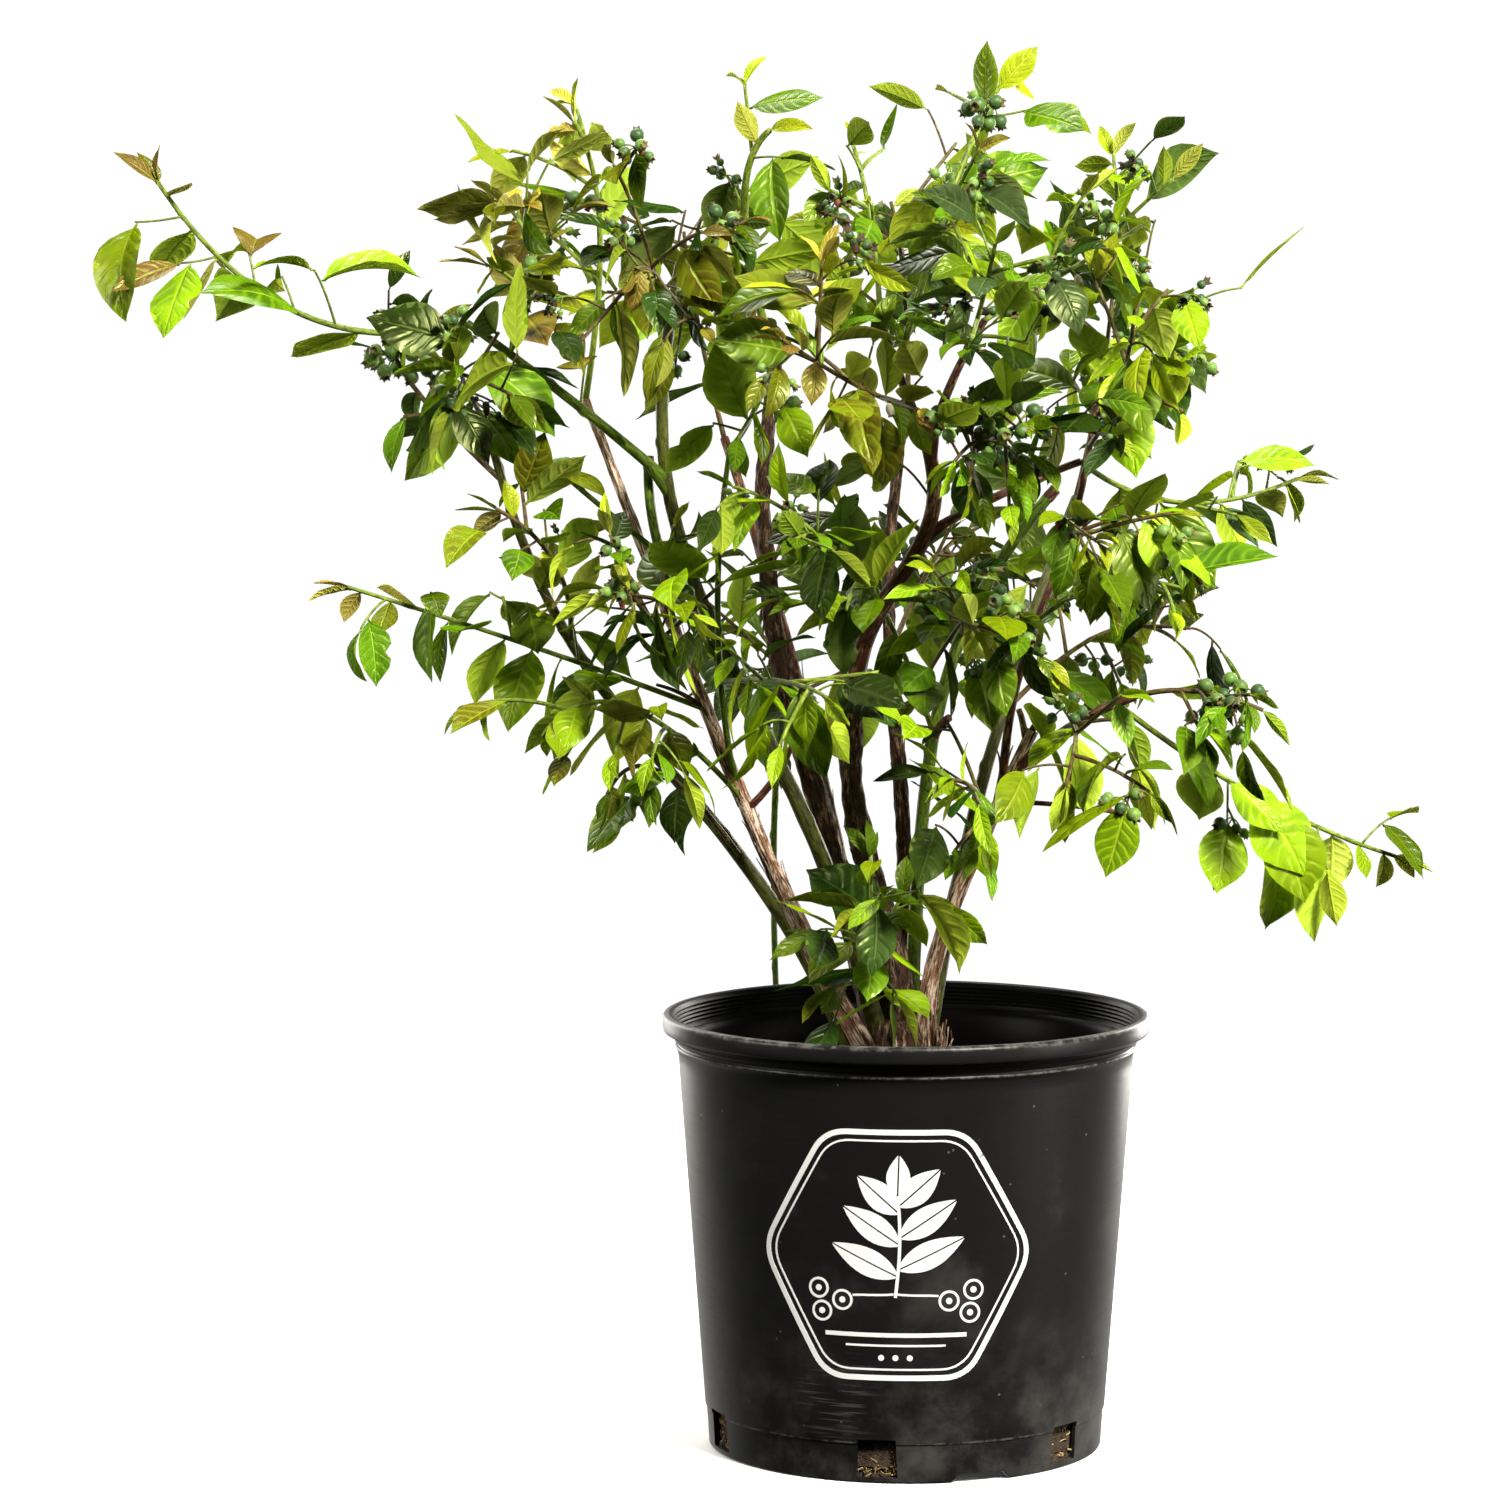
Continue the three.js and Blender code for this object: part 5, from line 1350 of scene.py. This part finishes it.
def make_print():
    """A plain leafy sprig with berries in a double six-sided frame, over two rules."""
    piece = Piece("pot_print", ink_look())
    stroke(piece, frame_path(80, 70, 13), 3.1)
    stroke(piece, frame_path(74.4, 65.2, 12), 1.1)
    stem = [(2.5 * math.sin(2.6 * t), -24 + 58 * t) for t in np.linspace(0, 1, 30)]
    stroke(piece, stem, 1.8)
    for k, length in enumerate((41, 38, 31)):
        for hand in (-1, 1):
            foot = stem[6 + 9 * k + (2 if hand > 0 else 0)]
            print_leaf(piece, foot, 90 - hand * (64 - 8 * k), length, 14.5)
    print_leaf(piece, stem[-1], 88, 23, 12.5)
    for hand in (-1, 1):
        for x, z in ((30, -26), (44, -20), (42, -33)):
            print_ring(piece, hand * x, z, 6, 4.6)
            print_dot(piece, hand * x, z, 1.8)
        stalk = [(hand * (1 + 23 * t), -22 - 3 * t + 5 * t * t - 3 * t ** 3) for t in np.linspace(0, 1, 9)]
        stroke(piece, stalk, 1.2)
    for z, half, width in ((-45.5, 40, 2.4), (-51.5, 28, 1.2)):
        stroke(piece, [(x, z) for x in np.linspace(-half, half, 30)], width)
    for x in (-8, 0, 8):
        print_dot(piece, x, -58.5, 1.7)
    piece.build(slot="pot", sharp_angle=40)


# ---- The woody base ----

STOOL_SIDES, STOOL_ROWS = 72, 30
LOOSE_STRIPS, STUB_SHREDS = 64, 16


def add_stock(piece):
    """The knobbly stock that the canes rise from, narrower at its top and closed there by a dome."""
    angle = np.arange(STOOL_SIDES) / STOOL_SIDES * TAU
    share = np.linspace(0, 1, STOOL_ROWS)[:, None]
    height = share * (STOOL_HEIGHT - 1.5)
    ridge, fine = ripples(301, 10, 9, 0.11), ripples(302, 16, 26, 0.4)
    rough = 1.9 * (1 - 2 * np.abs(ridge(angle, height))) + 0.7 * fine(angle, height)
    lump = 1 + 0.1 * np.cos(3 * angle + 0.6)
    ring = (STOOL_RADIUS + (STOOL_TOP_RADIUS - STOOL_RADIUS) * share - 1.5) * lump + rough
    caps = np.linspace(0.8, 0.1, 6)[:, None]
    ring = np.concatenate([ring, ring[-1:] * caps])
    tall = np.concatenate([height, height[-1] + (1 - caps ** 2) * 1.2]) + 0 * angle
    rings = np.stack([ring * np.sin(angle) - 3, 1 - ring * np.cos(angle), SOIL_LEVEL + tall], -1)
    place = np.stack([ring * np.cos(angle), ring * np.sin(angle), tall], -1).reshape(-1, 3)
    ends = [(-3, 1, SOIL_LEVEL), (-3, 1, SOIL_LEVEL + STOOL_HEIGHT - 0.3)]
    piece.add(*shell(rings, ends), 0, np.concatenate([place, [(0, 0, 0), (0, 0, 40)]]))


def make_stool():
    """The stock with shreds of old bark."""
    piece = Piece("bark_crown_stool", skins["bark_fibrous"], skins["bark_peeling"])
    add_stock(piece)
    roll = dice(303)
    for k in range(LOOSE_STRIPS):  # loose strips of old bark standing up round the base
        turn = roll() * TAU
        out = np.array([math.cos(turn), math.sin(turn), 0])
        foot = out * (27 - 9 * roll()) + (-3, 1, SOIL_LEVEL + 1 + 20 * roll())
        rise = 9 + 17 * roll()
        tip = foot + out * (roll() * 7 - 1, roll() * 7 - 1, 0) + (0, 0, rise)
        add_strip(piece, Line(foot, tip, out * 2), 1.5 + 2.5 * roll(), turn, k % 3 == 0)
    for _ in range(STUB_SHREDS):  # a pale shredded stub at the right
        foot = np.array([15 + 4 * roll(), -17 + 4 * roll(), SOIL_LEVEL + 9 + 6 * roll()])
        tip = foot + (1 + 8 * roll(), -5 * roll(), 12 + 16 * roll())
        line = Line(foot, tip, (roll() * 3, -roll() * 2, 0))
        add_strip(piece, line, 1.5 + 2 * roll(), -0.8 + roll(), True)
    piece.build("crown_stool", slot="stool", sharp_angle=60)


def add_strip(piece, line, width, turn, pale):
    """A strip of bark that narrows to its tip and bulges outward."""
    outward = np.array([math.cos(turn), math.sin(turn), 0.15])
    along = line.tangent(0.5)
    beside = unit(np.cross(along, outward))
    half = beside * np.array([1, 1, 0.9, 0.75, 0.5, 0.15])[:, None] * width / 2
    middle = line.at(np.linspace(0, 1, 6))
    points = np.stack([middle - half, middle + outward * 0.4, middle + half], 1)
    made, faces = slab(points, unit(np.cross(beside, along)), -0.2, 0.2)
    piece.add(made, [block[:, ::-1] for block in faces], int(pale))


# ---- Berries and blossom ----

BERRY_SIDES = 15
BERRY_POLAR = [10, 18, 24, 29, 36, 52, 74, 98, 122, 146, 167]  # degrees from the crown's middle
BERRY_REACH = [0.66, 0.72, 0.98, 1.28, 0.98, 1, 1.02, 1.02, 1.01, 0.99, 0.98]
CUP_ROWS = 4
BELL_ALONG = [0, 0.08, 0.3, 0.6, 0.85, 0.94, 1.0, 0.96, 0.8, 0.4, 0.15]
BELL_WIDE = [0.07, 0.20, 0.30, 0.33, 0.25, 0.22, 0.29, 0.25, 0.19, 0.25, 0.10]
CROWN_WIDE = 1.9  # how much wider the crown of a small young fruit is
BELL_SIDES = 12
CLUSTER_FOOT, CLUSTER_REACH = 0.55, 13  # share of a side shoot, and length of the stalk


def upright(axis):
    """Two directions square to an axis, and the axis."""
    axis = unit(axis)
    side = unit(np.cross(axis, (0.3, 0.9, 0.2)))
    return np.array([side, np.cross(axis, side), axis])


def berry_template(flare):
    """A ball with a five-lobed crown, which flare widens: a young fruit is mostly crown."""
    angle = np.arange(BERRY_SIDES) / BERRY_SIDES * TAU
    polar = np.radians(BERRY_POLAR)[:, None]
    reach = np.array(BERRY_REACH)[:, None] + 0 * angle
    reach[2] += 0.10 * np.cos(5 * angle)
    reach[3] += flare - 1 + 0.24 * flare * np.cos(5 * angle)
    across = reach * np.sin(polar)
    rings = np.stack([across * np.cos(angle), across * np.sin(angle), reach * np.cos(polar)], -1)
    points, (sides, crown, bottom) = shell(rings, [(0, 0, 0.78), (0, 0, -0.98)], flip=True)
    cup = CUP_ROWS * BERRY_SIDES
    return points, [sides[cup:], bottom, sides[:cup], crown]


templates = {flare: berry_template(flare) for flare in (1, CROWN_WIDE)}


def add_berry(piece, centre, axis, radius, flare):
    points, faces = templates[flare]
    piece.add(centre + radius * (points @ upright(axis)), faces, [0, 0, 1, 1])


def add_bell(piece, foot, axis, length):
    """A small urn-shaped flower, open at its mouth."""
    side, over, axis = upright(axis)
    angle = (np.arange(BELL_SIDES) / BELL_SIDES * TAU)[:, None]
    along, wide = np.array([BELL_ALONG, BELL_WIDE])[..., None, None] * length
    rings = foot + axis * along + (side * np.cos(angle) + over * np.sin(angle)) * wide
    piece.add(*shell(rings, [foot - axis * 0.2, foot + axis * length * 0.1], flip=True))


def make_fruit(all_grown):
    berries = Piece("berries", grains["berry_skin"], grains["berry_calyx"])
    stalks = Piece("berry_stalks", skins["shoot_green"])
    blossom = Piece("blossom", grains["petals"])
    withered = Piece("dried_flowers", grains["dried_petals"])
    roll = dice(808)
    for mass, grown in zip(masses, all_grown):
        for stalk in grown["stalks"]:
            add_cluster(stalk, 4, 1, roll, berries, stalks, grown)
        spurs = grown["spurs"][:: 2 if mass["name"] in FRUITFUL else 5]
        for spur in () if mass["name"] in BARREN else spurs:
            foot = spur.at(CLUSTER_FOOT)
            if foot[2] > FRUIT_TOP:
                continue
            lean = spur.tangent(0.5) + (roll() - 0.5, roll() - 0.5, roll() - 0.4)
            tip = foot + unit(lean) * CLUSTER_REACH
            if free(grown["order"], tip, FRUIT_SLACK):
                count, ripe = 3 + int(4 * roll()), 0.45 + 0.5 * roll()
                add_cluster(Line(foot, tip, (0, 0, 1)), count, ripe, roll, berries, stalks, grown)
                if roll() < DRIED_SHARE:
                    add_bell(withered, tip, (roll() - 0.5, roll() - 0.5, -1), 6)
    add_blossom(blossom, stalks)
    for piece in (berries, stalks, blossom, withered):
        piece.build()


def add_blossom(blossom, stalks):
    stem_of = dict(zip((mass["name"] for mass in masses), stems))
    for name, share in BLOSSOMS:
        foot = stem_of[name].at(share)
        tip = foot + (3, -8, -3)
        add_tube(stalks, Line(foot, tip), (0.5, 0.5), 5, 3)
        add_bell(blossom, tip, (0.25, -0.35, -1), 7.5)


def add_cluster(stalk, count, ripe, roll, berries, stalks, grown):
    """Berries round the end of a stalk, each on a short stalk. Unripe ones are small."""
    out = unit(stalk.tip - stalk.foot)
    placed = [stalk.tip]
    for _ in range(count * 4):
        if len(placed) > count:
            break
        lean = unit(out * 0.5 + np.array([roll() - 0.5, roll() - 0.5, roll() - 0.6]) * 2.2)
        spot = stalk.tip - out * 4 + lean * (4 + 4 * ripe + 4 * roll())
        apart = min(np.linalg.norm(spot - other) for other in placed)
        if apart > BERRY_RADIUS * 1.9 * ripe and free(grown["order"], spot, FRUIT_SLACK):
            placed.append(spot)
    add_tube(stalks, stalk, (0.75, 0.75), 6, 5)
    hub = stalk.at(0.6)
    for number, spot in enumerate(placed):
        size = BERRY_RADIUS * ripe * (0.75 + 0.3 * roll()) if number or ripe < 1 else BERRY_RADIUS
        axis = unit(spot - hub)
        add_tube(stalks, Line(hub, spot - axis * size * 0.9, (0, 0, 1)), (0.5, 0.5), 5, 4)
        flare = CROWN_WIDE if size < 0.62 * BERRY_RADIUS else 1
        add_berry(berries, spot, axis + (0, 0, -0.3), size, flare)


# ---- The bush ----


def add_twig(piece, line, thick, shrink, sides, seed):
    """A fine stem, which ends a little beyond what it carries."""
    line = line.stretch(0, min(line.used + 0.05, 1))
    relief = bark_relief(seed, thick, line.length, "green")
    add_tube(piece, line, (thick, thick * shrink), sides, max(5, int(line.length / 4)),
             lambda angle, along: 0.35 * relief(angle, along), seed * 13.0)


def make_masses(all_grown):
    for order, (mass, grown) in enumerate(zip(masses, all_grown)):
        name = mass["name"]
        piece = Piece("twigs_" + name, skins["shoot_" + mass["stem_look"]])
        add_twig(piece, grown["stem"], mass["stem_radius"], 0.65, 10, order)
        for kind, thick, sides, seed in (("twigs", TWIG_RADIUS, 8, 100), ("spurs", SPUR_RADIUS, 6, 500)):
            for k, line in enumerate(grown[kind]):
                add_twig(piece, line, thick, 0.8, sides, seed + order * 10 + k)
        piece.build("foliage_" + name)
        leaves = Piece("leaves_" + name, *leaf_looks)
        add_leaves(leaves, grown["leaves"])
        sharpen_between_slots(leaves.build("foliage_" + name).data)


def make_snags():
    for bark in ("russet", "peeling", "green"):
        piece = Piece("snags_" + bark, skins["bark_" + bark])
        for k, (limb, share, tip, bow, thick, thin, kind) in enumerate(SNAGS):
            if kind == bark:
                line = Line(limbs[limb]["line"].at(share), tip, bow)
                relief = bark_relief(700 + k, thick, line.length, kind)
                add_tube(piece, line, (thick, thin), 12, int(line.length / 2), relief)
        piece.build(slot="bough", sharp_angle=70)


make_pot()
make_print()
make_soil()
make_stool()
for number, (name, limb) in enumerate(limbs.items()):
    make_limb(name, limb, 1000 + number * 10)
all_grown = [grow_mass(mass, order) for order, mass in enumerate(masses)]
make_masses(all_grown)
make_snags()
make_fruit(all_grown)


# ---- Studio ----

WARM_WHITE = (1.0, 0.97, 0.90)
LAMPS = [  # name, place, aim, width, height, watts
    ("key", (1.3, -2.0, 2.5), (0, 0, 0.5), 0.6, 0.6, 262),
    ("top_back", (-0.5, 1.5, 2.4), (0, 0, 0.55), 1.4, 0.8, 60),
    ("left_side", (-2.3, -0.8, 1.25), (0, 0, 0.5), 0.6, 0.9, 32),
    ("right_side", (2.3, -0.7, 0.5), (0, 0, 0.3), 0.9, 1.2, 22),
    ("right_edge", (1.0, 1.5, 0.5), (0, 0, 0.3), 0.4, 1.2, 38),
    ("left_edge", (-1.0, 1.5, 0.5), (0, 0, 0.3), 0.4, 1.2, 20),
]
PICTURE_PIXELS, FOCAL_PIXELS, SENSOR = 1500, 5253, 36
CAMERA_PLACE, CAMERA_DIP = (-0.0897, -3.0, 0.6765), 0.0914


def add_object(name, data, place=(0, 0, 0), turn=(0, 0, 0)):
    obj = bpy.data.objects.new(name, data)
    bpy.context.collection.objects.link(obj)
    obj.location, obj.rotation_euler = place, turn
    return obj


def make_floor():
    """White paper that glows a little, so that it is white to its edge and keeps a soft shadow."""
    mesh = bpy.data.meshes.new("floor")
    corners = [(-1.6, -2.4, 0), (1.6, -2.4, 0), (1.6, 1.5, 0), (-1.6, 1.5, 0)]
    mesh.from_pydata(corners, [], [(0, 1, 2, 3)])
    look = Look("floor_paper", roughness=0.9, specular_ior_level=0, emission_strength=0.03,
                emission_color=(1, 1, 1))
    look.set(base_color=look.mix(look.noise(look.where(), 3, 2), (0.92, 0.92, 0.92), (0.90, 0.90, 0.90)))
    mesh.materials.append(look.material)
    floor = add_object("floor", mesh, (0, 0, -0.0003))
    floor.visible_glossy = floor.visible_diffuse = False


def make_world():
    """Plain white to the camera. To everything else it is bright behind and above, dark in front."""
    world = bpy.data.worlds.new("studio")
    world.use_nodes = True
    world.node_tree.nodes.clear()
    sky = Nodes(world.node_tree)
    _, back, up = sky.parts(sky.node("TexCoord", out="Generated"))
    glow = {"To Min": 0.004}
    behind = sky.node("MapRange", glow | {"Value": back, "From Min": 0.1, "From Max": 0.9, "To Max": 0.9})
    above = sky.node("MapRange", glow | {"Value": up, "To Max": 0.05})
    felt = sky.node("Background", {"Color": (1.0, 0.98, 0.92), "Strength": behind + above})
    seen = sky.node("Background", {"Color": (1, 1, 1), "Strength": 1.05})
    surface = sky.node("MixShader", {0: sky.node("LightPath", out="Is Camera Ray"), 1: felt, 2: seen})
    sky.put(sky.tree.nodes.new("ShaderNodeOutputWorld").inputs["Surface"], surface)
    bpy.context.scene.world = world


def make_lamps():
    for name, place, aim, width, height, watts in LAMPS:
        data = bpy.data.lights.new(name, "AREA")
        data.shape, data.size, data.size_y, data.energy = "RECTANGLE", width, height, watts
        data.color = WARM_WHITE
        x, y, z = unit(np.subtract(place, aim))
        add_object(name, data, place, (math.atan2(math.hypot(x, y), z), 0, math.atan2(x, -y)))


def make_camera():
    data = bpy.data.cameras.new("camera")
    data.sensor_width = SENSOR
    data.lens = FOCAL_PIXELS / PICTURE_PIXELS * SENSOR
    data.clip_start, data.clip_end = 0.1, 40
    scene = bpy.context.scene
    scene.camera = add_object("camera", data, CAMERA_PLACE, (math.pi / 2 - CAMERA_DIP, 0, 0))
    scene.view_settings.view_transform, scene.view_settings.look = "Standard", "None"


make_floor()
make_world()
make_lamps()
make_camera()
